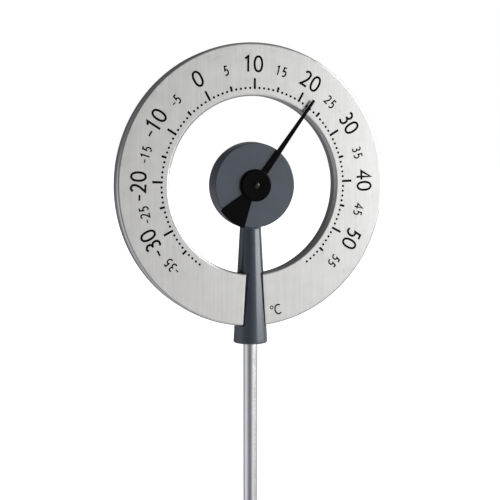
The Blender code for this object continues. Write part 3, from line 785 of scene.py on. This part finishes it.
def smooth(points, per_span=6):
    """A curve through the points, with Catmull-Rom spans."""
    ends = [points[0], *points, points[-1]]
    curve = []
    for a, b, c, d in zip(ends, ends[1:], ends[2:], ends[3:]):
        for k in range(per_span):
            t = k / per_span
            curve.append(tuple(span_at(t, *values) for values in zip(a, b, c, d)))
    return curve + [points[-1]]


def oval(centre, half_w, half_h, start, end, steps=40, square=2.25):
    """Part of a slightly squared oval, by angle in degrees."""
    points = []
    for k in range(steps + 1):
        a = math.radians(start + (end - start) * k / steps)
        c, s = math.cos(a), math.sin(a)
        x = math.copysign(abs(c) ** (2 / square), c) * half_w
        y = math.copysign(abs(s) ** (2 / square), s) * half_h
        points.append((centre[0] + x, centre[1] + y))
    return points


# Each digit is a list of strokes in a unit box that the stroke's middle line fills: (points, closed).
DIGITS = {
    "0": [(oval((0.5, 0.5), 0.5, 0.5, 0, 360)[:-1], True)],
    "1": [([(0.0, 0.84), (0.86, 1.0), (0.86, -0.04)], False)],
    "2": [
        (
            smooth([(0.06, 0.86), (0.44, 1.0), (0.84, 0.88), (0.86, 0.64), (0.6, 0.35), (0.06, 0.0)])
            + [(1.0, 0.0)],
            False,
        )
    ],
    "3": [
        (smooth([(0.1, 0.93), (0.45, 1.0), (0.84, 0.86), (0.8, 0.64), (0.56, 0.55), (0.3, 0.54)]), False),
        (smooth([(0.3, 0.54), (0.62, 0.52), (0.92, 0.38), (0.9, 0.14), (0.56, 0.0), (0.05, 0.05)]), False),
    ],
    "4": [([(0.7, -0.06), (0.7, 1.0), (0.0, 0.3), (1.06, 0.3)], False)],
    "5": [
        (
            [(0.94, 1.0), (0.26, 1.0)]
            + smooth([(0.17, 0.54), (0.5, 0.6), (0.9, 0.48), (0.94, 0.2), (0.55, 0.0), (0.04, 0.03)]),
            False,
        )
    ],
}
# Width of each digit as a share of the print's digit width.
DIGIT_WIDTHS = {"0": 1.0, "1": 0.58, "2": 0.95, "3": 0.9, "4": 1.04, "5": 0.86}


def print_number(work, value, height, wide, stroke, advance):
    """Prints a number beside its tick, with a minus sign to its left."""
    digits = str(abs(value))
    left = NUMBER_SHIFT[value] - advance * len(digits) / 2

    def put(x, y):
        return on_ring(at_celsius(value), TEXT_BASE + y, x)

    for i, digit in enumerate(digits):
        width = wide * DIGIT_WIDTHS[digit]
        middle = left + advance * (i + 0.5) - (ONE_SHIFT * wide if digit == "1" else 0)
        start = middle - width / 2 + stroke / 2
        if i == 0:
            edge = middle - width / 2 - MINUS_GAP * wide
        for k, (path, closed) in enumerate(DIGITS[digit]):
            line = [(start + x * (width - stroke), stroke / 2 + y * (height - stroke)) for x, y in path]
            print_ribbon(work, line, stroke, put, closed, STROKE_LIFT * k)
    if value < 0:
        line = [(edge - MINUS_LENGTH * wide, MINUS_HEIGHT * height), (edge, MINUS_HEIGHT * height)]
        print_ribbon(work, line, stroke * MINUS_STROKE, put)


def make_scale():
    """Numbers and ticks every five degrees, dots between them, and the unit mark."""
    numerals, marks, dots, unit = bmesh.new(), bmesh.new(), bmesh.new(), bmesh.new()
    for value in NUMBERS:
        big = value % 10 == 0
        print_number(numerals, value, *(BIG_PRINT if big else SMALL_PRINT))
        end = BIG_TICK_END if big else SMALL_TICK_END
        angle = at_celsius(value)
        corners = ((TICK_START, -TICK_HALF), (end, -TICK_HALF), (end, TICK_HALF), (TICK_START, TICK_HALF))
        print_prism(marks, [on_ring(angle, radial, across) for radial, across in corners])
    for value in DOTS:
        if value % NUMBERS.step:
            x, z = polar(DOT_CIRCLE, at_celsius(value))
            ring = [polar(DOT_R, 360 * k / 28) for k in range(28)]
            print_prism(dots, [(x + dx, z + dz) for dx, dz in ring])
    tilt = Matrix.Rotation(math.radians(UNIT_TURN), 2)

    def on_unit(x, y):
        moved = tilt @ Vector((x, y))
        return UNIT_AT[0] + moved.x, UNIT_AT[1] + moved.y

    degree = oval(DEGREE_AT, DEGREE_R, DEGREE_R, 0, 360, 28, 2.0)[:-1]
    print_ribbon(unit, degree, DEGREE_STROKE, on_unit, True)
    letter = oval(LETTER_AT, *LETTER_HALF, LETTER_OPENING, 360 - LETTER_OPENING, 36, 2.15)
    print_ribbon(unit, letter, LETTER_STROKE, on_unit)
    for name, work in (
        ("scale_numerals", numerals),
        ("scale_ticks", marks),
        ("scale_dots", dots),
        ("unit_mark", unit),
    ):
        piece(new_object(name, work), "head", ink, "black_plastic")


# ---------------------------------------------------------------- hub and neck


HUB_SIDE = (
    (HUB_HALF_DEPTH, HUB_FACE_R),
    (0.0, HUB_WIDEST_R),
    (-4.2, HUB_WIDEST_R - 0.8),
    (-8.0, HUB_WIDEST_R - 2.2),
    (-10.8, HUB_WIDEST_R - 4.4),
    (-HUB_HALF_DEPTH, HUB_WIDEST_R - 6.4),
)


def hub_radius(front):
    """Radius of the drum's side at a front distance."""
    for (f0, r0), (f1, r1) in zip(HUB_SIDE, HUB_SIDE[1:]):
        if f0 >= front >= f1:
            return r0 + (r1 - r0) * (front - f0) / (f1 - f0)
    return HUB_FACE_R


def neck_radius(z):
    return NECK_TOP_R + NECK_FLARE * (NECK_TOP - z)


def neck_solid(name):
    """The flared neck, with a small round where it grows out of the drum."""
    work = bmesh.new()
    rows = []
    foot_top = NECK_BOTTOM + NECK_FOOT
    foot = [
        (0, NECK_BOTTOM),
        (neck_radius(NECK_BOTTOM), NECK_BOTTOM, NECK_FOOT_ROUND),
        (neck_radius(foot_top), foot_top),
    ]
    low_part = rounded(foot, 6)[1:-1]
    low_end = low_part[-1][1]
    rises, rounds = 44, 8
    for k in range(FINE):
        angle = 2 * math.pi * k / FINE
        radius = NECK_TOP_R + NECK_ROOT_ROUND / 2
        x, front = radius * math.cos(angle), -radius * math.sin(angle)
        root = -math.sqrt(hub_radius(front) ** 2 - x * x) + NECK_ROOT_SINK
        column = list(low_part)
        for i in range(1, rises + 1):
            z = low_end + (root - NECK_ROOT_ROUND - low_end) * i / rises
            column.append((neck_radius(z), z))
        for i in range(1, rounds + 1):
            swing = math.pi / 2 * i / rounds
            z = root - NECK_ROOT_ROUND * (1 - math.sin(swing))
            column.append((neck_radius(z) + NECK_ROOT_ROUND * (1 - math.cos(swing)), z))
        column.append((column[-1][0], root + NECK_INTO_DRUM))
        rows.append([work.verts.new(metres(about_rod(r, angle, DIAL_Z + z))) for r, z in column])
    bottom = work.verts.new(metres((0, 0, DIAL_Z + NECK_BOTTOM)))
    top = work.verts.new(metres((0, 0, DIAL_Z + NECK_POINT)))
    for a, b in zip(rows, rows[1:] + rows[:1]):
        for i in range(len(a) - 1):
            work.faces.new((a[i], b[i], b[i + 1], a[i + 1]))
        work.faces.new((a[0], b[0], bottom))
        work.faces.new((a[-1], b[-1], top))
    return new_object(name, work)


def shell_blank(name):
    """Drum and neck in one moulding, hollowed, with the notches that hold the ring's ends."""
    blank = turned(
        name,
        [(0, HUB_HALF_DEPTH), (HUB_FACE_R, HUB_HALF_DEPTH, 0.9), (HUB_WIDEST_R, 0.0, 12)]
        + [(r, f, 3.0) for f, r in HUB_SIDE[2:5]]
        + [(HUB_SIDE[5][1], -HUB_HALF_DEPTH, 0.8), (0, -HUB_HALF_DEPTH)],
        steps=FINE,
    )
    join(blank, neck_solid(name + "_neck"))
    cavity = [
        (0, HUB_INSIDE),
        (CAVITY_FRONT_R, HUB_INSIDE, 1.5),
        (CAVITY_R, 0),
        (CAVITY_FRONT_R, -5.0),
        (CAVITY_BACK_R, -HUB_INSIDE),
        (0, -HUB_INSIDE),
    ]
    cut(blank, turned(name + "_cavity", cavity))
    start, end = DIAL_Z - 30, DIAL_Z - 150
    top, pocket = ROD_TOP + CUT_PAST, DIAL_Z + SLEEVE_TOP
    socket, wide = ROD_R + ROD_PLAY, high_of("rod_sleeve").x + ROD_PLAY
    bore = [
        (0, start),
        (ARBOR_ROOM_R, start),
        (ARBOR_ROOM_R, top),
        (socket, top),
        (socket, pocket),
        (wide, pocket),
        (wide, end),
        (0, end),
    ]
    cut(blank, turned(name + "_bore", bore, about_rod))
    room = [
        (RING_OUTER + NOTCH_PLAY_R, RING_FACE + NOTCH_PLAY),
        (RING_OUTER + NOTCH_PLAY_R, RING_BACK - NOTCH_PLAY),
        (RING_INNER - NOTCH_PLAY_R, RING_BACK - NOTCH_PLAY),
        (RING_INNER - NOTCH_PLAY_R, RING_FACE + NOTCH_PLAY),
    ]
    cut(blank, slotted(name + "_notches", room, -NOTCH_OVERLAP))
    for side in (-1, 1):
        far_foot, far_top = (LEDGE_SIDE, LEDGE_FOOT[1]), (LEDGE_SIDE, LEDGE_TOP[1])
        ledge = [(side * x, z) for x, z in (LEDGE_TOP, LEDGE_FOOT, far_foot, far_top)]
        cut(blank, slab(name + "_ledge", ledge, LEDGE_FRONT, BEYOND_HUB))
    return blank


def make_shells():
    """The front half with bosses and pilot holes, and the rear half with screw ways and the vent opening."""
    screw_x, screw_z = NECK_SCREW_AT
    neck_places = [about(side * screw_x, screw_z) for side in (-1, 1)]
    hub_places = [about(*polar(HUB_SCREW_CIRCLE, a)) for a in HUB_SCREW_ANGLES]
    pad_places = [about(*polar(POST_CIRCLE, a)) for a in POST_ANGLES]
    boss_end = HUB_INSIDE + BOSS_ROOT
    pad_face = HUB_INSIDE - PAD_HEIGHT
    pad = [(0, boss_end), (PAD_R, boss_end), (PAD_R, pad_face, 0.3), (0, pad_face)]

    front = shell_blank("hub_front")
    far = BEYOND_PIECE
    cut(front, box("behind", (-far, -PARTING, -far), (far, far, far)))
    for place in hub_places:
        join(front, pin("boss", HUB_BOSS_R, boss_end, PARTING, place))
    for place in pad_places:
        join(front, turned("pad", pad, place, SMALL))
    for place in hub_places:
        cut(front, pin("pilot", HUB_PILOT_R, HUB_PILOT_END, -CUT_PAST, place))
    for place in pad_places:
        cut(front, pin("pilot", PAD_PILOT_R, HUB_INSIDE + 1, HUB_INSIDE - 3, place))
    for place in neck_places:
        cut(front, pin("pilot", NECK_PILOT_R, NECK_PILOT_END, -CUT_PAST, place))
    cut(front, pin("bush_hole", BUSH_HOLE_R, BEYOND_HUB, 5))
    piece(front, "head", slate, "slate_plastic", "front_shell")

    rear = shell_blank("hub_rear")
    cut(rear, box("before", (-far, -far, -far), (far, PARTING, far)))
    cut(rear, pin("vent_opening", COVER_R + PLAY, -5, -BEYOND_HUB, steps=ROUND))
    for place in hub_places:
        join(rear, pin("boss", HUB_BOSS_R, -PARTING, -boss_end, place))
    for place in hub_places:
        cut(rear, screw_way(*HUB_SCREW_WAY, place))
    for place in neck_places:
        cut(rear, screw_way(*NECK_SCREW_WAY, place))
    piece(rear, "head", slate, "slate_plastic", "rear_shell")


def screw_way(hole, head, seat, place):
    """Cutter for a clearance hole and its counterbore, open to the back."""
    way = [
        (0, CUT_PAST),
        (hole, CUT_PAST),
        (hole, -seat),
        (head, -seat),
        (head, -BEYOND_HUB),
        (0, -BEYOND_HUB),
    ]
    return turned("screw_way", way, place, SMALL)


def make_vent_cover():
    """Rear cover with radial slots and the calibration dial's recess."""
    flange = HUB_INSIDE - PLAY
    flange_top = FLANGE_THICK - flange
    cover = turned(
        "vent_grille",
        [
            (KNOB_HOLE_R, RECESS_SEAT),
            (RECESS_R, RECESS_SEAT),
            (RECESS_R, -COVER_OUTSIDE, 0.4),
            (COVER_R, -COVER_OUTSIDE, 0.5),
            (COVER_R, -flange),
            (FLANGE_R, -flange, 0.3),
            (FLANGE_R, flange_top, 0.3),
            (COVER_R - COVER_WALL, flange_top),
            (COVER_R - COVER_WALL, -HUB_INSIDE),
            (RECESS_R + RECESS_WALL_FOOT, -HUB_INSIDE),
            (RECESS_R + RECESS_WALL, flange_top),
            (KNOB_HOLE_R, flange_top),
        ],
    )
    outer_end = oval((VENT_TO, 0), VENT_HALF, VENT_HALF, -90, 90, 10, 2.0)
    inner_end = oval((VENT_FROM, 0), VENT_HALF, VENT_HALF, 90, 270, 10, 2.0)
    for k in range(VENT_COUNT):
        cut(cover, slab("vent", outer_end + inner_end, -BEYOND_HUB, -9, 360 / VENT_COUNT * k))
    piece(cover, "head", slate, "slate_plastic", "vent_cover")


# ---------------------------------------------------------------- screws, movement and pointer


def make_screws():
    """Slotted pan heads. A row holds name, head radius and height, shank radius, length, seat and places."""
    neck_x, neck_z = NECK_SCREW_AT
    rows = (
        ("bridge_screw", 2.3, 1.3, 1.1, 15.3, 4.7, [polar(POST_CIRCLE, a) for a in POST_ANGLES]),
        ("hub_screw", 2.9, 1.9, 1.3, 14.5, 8.7, [polar(HUB_SCREW_CIRCLE, a) for a in HUB_SCREW_ANGLES]),
        ("neck_screw", 2.0, 1.5, 0.95, 10.5, 5.3, [(side * neck_x, neck_z) for side in (-1, 1)]),
    )
    for name, head, tall, shank, length, seat, places in rows:
        for i, (x, z) in enumerate(places, 1):
            profile = [
                (0, -seat - tall),
                (head, -seat - tall, tall * 0.75),
                (head, -seat, 0.12),
                (shank, -seat),
                (shank, length - shank - seat),
                (0, length - seat),
            ]
            screw = turned(f"{name}_head_{i}", profile, about(x, z), SMALL)
            wide = head * 0.16
            slot = [(-2 * head, -wide), (2 * head, -wide), (2 * head, wide), (-2 * head, wide)]
            turn = math.radians(25 + 40 * i)
            spun = [Matrix.Rotation(turn, 2) @ Vector(p) + Vector((x, z)) for p in slot]
            cut(screw, slab("driver", spun, -seat - tall - 1, -seat - tall * 0.5))
            piece(screw, "head", steel, "zinc_steel", f"{name}_{i}")


def make_calibration_dial():
    """Brass dial with a driver slot, on a short shaft."""
    profile = [
        (0, KNOB_BACK),
        (KNOB_R, KNOB_BACK, 0.5),
        (KNOB_R, KNOB_SEAT, 0.1),
        (KNOB_SHAFT_R, KNOB_SEAT),
        (KNOB_SHAFT_R, KNOB_SHAFT_END),
        (0, KNOB_SHAFT_END),
    ]
    dial = turned("calibration_knob", profile)
    reach, half = KNOB_R + 1.6, 0.5
    slot = [(-reach, -half), (reach, -half), (reach, half), (-reach, half)]
    cut(dial, slab("driver", slot, KNOB_BACK - CUT_PAST, KNOB_BACK + 0.6))
    piece(dial, "calibration", brass, "brass", "calibration_dial")


def make_pointer():
    """Boss, arm and counterweight sector in one moulding, and the domed cap."""
    boss = turned(
        "pointer_blade",
        [
            (SHAFT_HOLE_R, BOSS_FRONT - BOSS_DISH),
            (BOSS_R - BOSS_FACE_INSET, BOSS_FRONT, 0.5),
            (BOSS_R, BOSS_FRONT - BOSS_SHOULDER, 0.5),
            (BOSS_R, BOSS_BACK, 0.5),
            (SHAFT_HOLE_R, BOSS_BACK),
        ],
        steps=FINE,
    )
    root, tip = ARM_ROOT_WIDTH / 2, ARM_TIP_WIDTH / 2
    arm = rounded([(ARM_ROOT_R, root), (ARM_ROOT_R, -root), (TIP_R, -tip, 0.4), (TIP_R, tip, 0.4)])
    near, far = 180 - SECTOR_HALF_ANGLE, 180 + SECTOR_HALF_ANGLE
    sector = oval((0, 0), SECTOR_R, SECTOR_R, near, far, 32, 2.0)
    sector += oval((0, 0), ARM_ROOT_R, ARM_ROOT_R, far, near, 8, 2.0)
    for name, outline, levels in (("arm", arm, ARM_LEVELS), ("sector", sector, SECTOR_LEVELS)):
        join(boss, ease_edges(slab(name, outline, *levels, HEADING), 0.3, 60))
    piece(boss, "pointer", black, "black_plastic", "pointer", sharp=30)

    seat = BOSS_FRONT + CAP_GAP
    dome = [
        (0, seat + CAP_HEIGHT),
        (1.1, seat + 0.92, 3),
        (2.1, seat + 0.66, 3),
        (CAP_R, seat + 0.15, 0.8),
        (CAP_R, seat),
        (0, seat),
    ]
    cap = turned("pointer_button", dome, steps=SMALL)
    piece(cap, "pointer", glossy_black, "black_plastic", "pointer_cap")


# ---------------------------------------------------------------- stake


def make_rods():
    """The two tubes, with broken edges at their ends."""
    for name, body, low, high in (
        ("upper_tube", "upper_section", ROD_SEAM, ROD_TOP),
        ("lower_tube", "stake", LOWER_FOOT, LOWER_TOP),
    ):
        inner = ROD_R - 1.0
        profile = [(inner, high, 0.2), (ROD_R, high, 0.25), (ROD_R, low, 0.25), (inner, low, 0.2)]
        tube = turned(name, profile, about_rod, FINE, 3)
        piece(tube, body, satin, "satin_tube", name.replace("tube", "rod"))


def fin_across(point, front):
    """Sets a fin's outline (x, z above the soil line) square to the reader's view."""
    return point[0], -front, point[1]


def fin_along(point, front):
    """Sets a fin's outline in the reader's line of view."""
    return front, point[0], point[1]


def make_spike():
    """Spigot, collar and a cross-ribbed point with eased edges."""
    core = turned(
        "stake_point",
        [
            (0, SPIGOT_TOP),
            (SPIGOT_R, SPIGOT_TOP, 0.8),
            (SPIGOT_R, COLLAR_THICK),
            (COLLAR_R, COLLAR_THICK, 1.0),
            (COLLAR_R, 0, 0.6),
            (CORE_ROOT_R, 0),
            (CORE_WAIST_R, CORE_WAIST),
            (CORE_TIP_R, SPIKE_TIP, 0.3),
            (0, SPIKE_TIP),
        ],
        about_rod,
    )
    fin = [
        (-FIN_HALF, FIN_ROOT),
        (FIN_HALF, FIN_ROOT),
        (FIN_HALF, FIN_SHOULDER),
        (FIN_TIP_HALF, FIN_END),
        (-FIN_TIP_HALF, FIN_END),
        (-FIN_HALF, FIN_SHOULDER),
    ]
    for name, place in (("fin_across", fin_across), ("fin_along", fin_along)):
        blade = slab(name, fin, -FIN_THICK_HALF, FIN_THICK_HALF, place=place)
        join(core, ease_edges(blade, 0.35, 30))
    piece(core, "stake", slate, "slate_plastic", "ground_spike")


# ---------------------------------------------------------------- stage, light and camera


FLOOR_R = 40.0
FLOOR_GAP = 0.0006
# (azimuth, radiance) of the room near the horizon. Azimuth is in degrees from the front (-Y) towards +X.
ROOM = (
    (-179, 0.36),
    (-140, 0.32),
    (-115, 0.9),
    (-93, 1.02),
    (-74, 0.76),
    (-58, 0.44),
    (-41, 0.26),
    (-25, 0.22),
    (-9, 0.33),
    (8, 0.75),
    (24, 1.06),
    (42, 0.72),
    (58, 0.6),
    (82, 0.72),
    (115, 0.6),
    (150, 0.35),
    (179, 0.3),
)
# The ramp holds tones up to 1, so the room's radiance is divided by this and multiplied back.
ROOM_SCALE = 2.0
# The room's shares of light: dimmed over these heights and azimuths in degrees, and brighter near the ground.
HIGH_FROM, HIGH_TO = 12.0, 50.0
HIGH_DIMMING = 0.5
LEFT_HIGH_FROM, LEFT_HIGH_TO = 6.0, 30.0
LEFT_FROM, LEFT_TO = -25.0, -50.0
LEFT_DIMMING = 1.1
GROUND_FROM, GROUND_TO = 6.0, -9.0
GROUND_GAIN = 0.52
ROOM_BASE = 0.68
# The softbox: its edges in degrees, how soft they are, how far its left side leans, its radiance and colour.
BOX_LEFT, BOX_RIGHT = 28.0, 84.0
BOX_BOTTOM, BOX_TOP = -2.0, 50.0
LEFT_SOFT, RIGHT_SOFT = 3.5, 8.0
BOTTOM_SOFT, TOP_SOFT = 1.5, 8.0
BOX_LEAN = 1.2
BOX_LEVEL = 8.0
BOX_COLOUR = (0.96, 0.98, 1.0, 1)

CAMERA_TURN = -20.574
CAMERA_RISE = 4.603
CAMERA_LENS = 105.79
CAMERA_SENSOR = 36.0
# The eye from the middle of the dial's face, to the right, up and back, in radii of the dot circle.
EYE = (-0.045, -0.668, 15.161)


def make_floor():
    """A plain white floor just under the point."""
    work = bmesh.new()
    bmesh.ops.create_circle(work, cap_ends=True, radius=FLOOR_R, segments=96)
    floor = new_object("floor", work)
    floor.location.z = cad_low.z - FLOOR_GAP
    material = bpy.data.materials.new("floor_white")
    material.use_nodes = True
    shader = material.node_tree.nodes["Principled BSDF"]
    shader.inputs["Base Color"].default_value = (0.85, 0.85, 0.85, 1)
    shader.inputs["Roughness"].default_value = 0.9
    shader.inputs["Emission Color"].default_value = (1, 1, 1, 1)
    shader.inputs["Emission Strength"].default_value = 1.0
    floor.data.materials.append(material)
    floor.visible_diffuse = False
    floor.visible_glossy = False
    floor.visible_shadow = False


def step(tree, value, start, end):
    """A soft step from 0 at start to 1 at end."""
    inputs = {"Value": value, "From Min": start, "From Max": end, "To Min": 0.0, "To Max": 1.0}
    return add_node(tree, "ShaderNodeMapRange", inputs, interpolation_type="SMOOTHSTEP").outputs["Result"]


def room_tint(azimuth):
    """The room is a little cool on the left and neutral on the right."""
    cool = max(0.0, min(1.0, (20 - azimuth) / 60))
    return 1.0 - 0.03 * cool, 1.0 - 0.03 * cool, 1.0 + 0.05 * cool


def room_light(tree, azimuth, height):
    """The room by azimuth, dimmer high up and at the upper left, and brighter near the ground."""
    round_share = math_node(tree, "MULTIPLY_ADD", azimuth, 1 / 360, 0.5)
    ramp = add_node(tree, "ShaderNodeValToRGB", {"Fac": round_share})
    stops = ramp.color_ramp.elements
    for at, tone in ROOM:
        stop = stops.new((at + 180) / 360)
        stop.color = (*[tone * t / ROOM_SCALE for t in room_tint(at)], 1)
    stops.remove(stops[0])
    stops.remove(stops[-1])
    upper = step(tree, height, HIGH_FROM, HIGH_TO)
    left_height = step(tree, height, LEFT_HIGH_FROM, LEFT_HIGH_TO)
    upper_left = math_node(tree, "MULTIPLY", left_height, step(tree, azimuth, LEFT_FROM, LEFT_TO))
    upper = math_node(tree, "MAXIMUM", upper, math_node(tree, "MULTIPLY", upper_left, LEFT_DIMMING))
    dimmed = math_node(tree, "SUBTRACT", 1.0, math_node(tree, "MULTIPLY", upper, HIGH_DIMMING))
    level = math_node(tree, "MULTIPLY", dimmed, ROOM_SCALE)
    near_ground = math_node(tree, "MULTIPLY", step(tree, height, GROUND_FROM, GROUND_TO), GROUND_GAIN)
    level = math_node(tree, "MULTIPLY", level, math_node(tree, "ADD", near_ground, ROOM_BASE))
    room = add_node(tree, "ShaderNodeBackground", {"Color": ramp.outputs["Color"], "Strength": level})
    return room.outputs["Background"]


def softbox_light(tree, azimuth, height):
    """One big softbox at the front right, whose left side leans with height."""
    leaning = math_node(tree, "SUBTRACT", azimuth, math_node(tree, "MULTIPLY", height, BOX_LEAN))
    from_left = step(tree, leaning, BOX_LEFT - LEFT_SOFT, BOX_LEFT + LEFT_SOFT)
    to_right = step(tree, azimuth, BOX_RIGHT + RIGHT_SOFT, BOX_RIGHT - RIGHT_SOFT)
    from_below = step(tree, height, BOX_BOTTOM - BOTTOM_SOFT, BOX_BOTTOM + BOTTOM_SOFT)
    to_top = step(tree, height, BOX_TOP + TOP_SOFT, BOX_TOP - TOP_SOFT)
    across = math_node(tree, "MULTIPLY", from_left, to_right)
    upward = math_node(tree, "MULTIPLY", from_below, to_top)
    strength = math_node(tree, "MULTIPLY", math_node(tree, "MULTIPLY", across, upward), BOX_LEVEL)
    softbox = add_node(tree, "ShaderNodeBackground", {"Color": BOX_COLOUR, "Strength": strength})
    return softbox.outputs["Background"]


def make_light():
    """A studio as a sky: the room and a softbox light the thermometer, and the camera sees plain white."""
    world = bpy.data.worlds.new("studio")
    bpy.context.scene.world = world
    world.use_nodes = True
    tree = world.node_tree
    tree.nodes.clear()
    direction = add_node(tree, "ShaderNodeTexCoord").outputs["Generated"]
    split = add_node(tree, "ShaderNodeSeparateXYZ", {"Vector": direction})
    x, y, z = (split.outputs[k] for k in "XYZ")
    to_degrees = 180 / math.pi
    front = math_node(tree, "MULTIPLY", y, -1.0)
    azimuth = math_node(tree, "MULTIPLY", math_node(tree, "ARCTAN2", x, front), to_degrees)
    height = math_node(tree, "MULTIPLY", math_node(tree, "ARCSINE", z), to_degrees)
    lights = {0: room_light(tree, azimuth, height), 1: softbox_light(tree, azimuth, height)}
    lit = add_node(tree, "ShaderNodeAddShader", lights).outputs["Shader"]
    white = add_node(tree, "ShaderNodeBackground", {"Color": (1, 1, 1, 1), "Strength": 1.0})
    seen = add_node(tree, "ShaderNodeLightPath").outputs["Is Camera Ray"]
    mix = add_node(tree, "ShaderNodeMixShader", {0: seen, 1: lit, 2: white.outputs["Background"]})
    add_node(tree, "ShaderNodeOutputWorld", {"Surface": mix.outputs["Shader"]})
    world.cycles.sampling_method = "MANUAL"
    world.cycles.sample_map_resolution = 1024


def make_camera():
    """A long lens at eye level, from the left of the dial."""
    turn, rise = math.radians(CAMERA_TURN), math.radians(CAMERA_RISE)
    right = Vector((math.cos(turn), math.sin(turn), 0))
    back = Vector((math.sin(turn) * math.cos(rise), -math.cos(turn) * math.cos(rise), math.sin(rise)))
    up = back.cross(right)
    data = bpy.data.cameras.new("camera")
    data.lens = CAMERA_LENS
    data.sensor_width = CAMERA_SENSOR
    camera = bpy.data.objects.new("camera", data)
    bpy.context.scene.collection.objects.link(camera)
    away = EYE[0] * right + EYE[1] * up + EYE[2] * back
    eye = metres((0, -RING_FACE, DIAL_Z)) + DOT_CIRCLE / 1000 * away
    axes = Matrix((right, up, back)).transposed()
    camera.matrix_world = Matrix.Translation(eye) @ axes.to_4x4()
    bpy.context.scene.camera = camera


make_camera()
make_light()
make_floor()
bpy.context.scene.view_settings.view_transform = "Standard"

dress_cad_nodes()
make_ring()
make_scale()
make_shells()
make_vent_cover()
make_screws()
make_calibration_dial()
make_pointer()
make_rods()
make_spike()
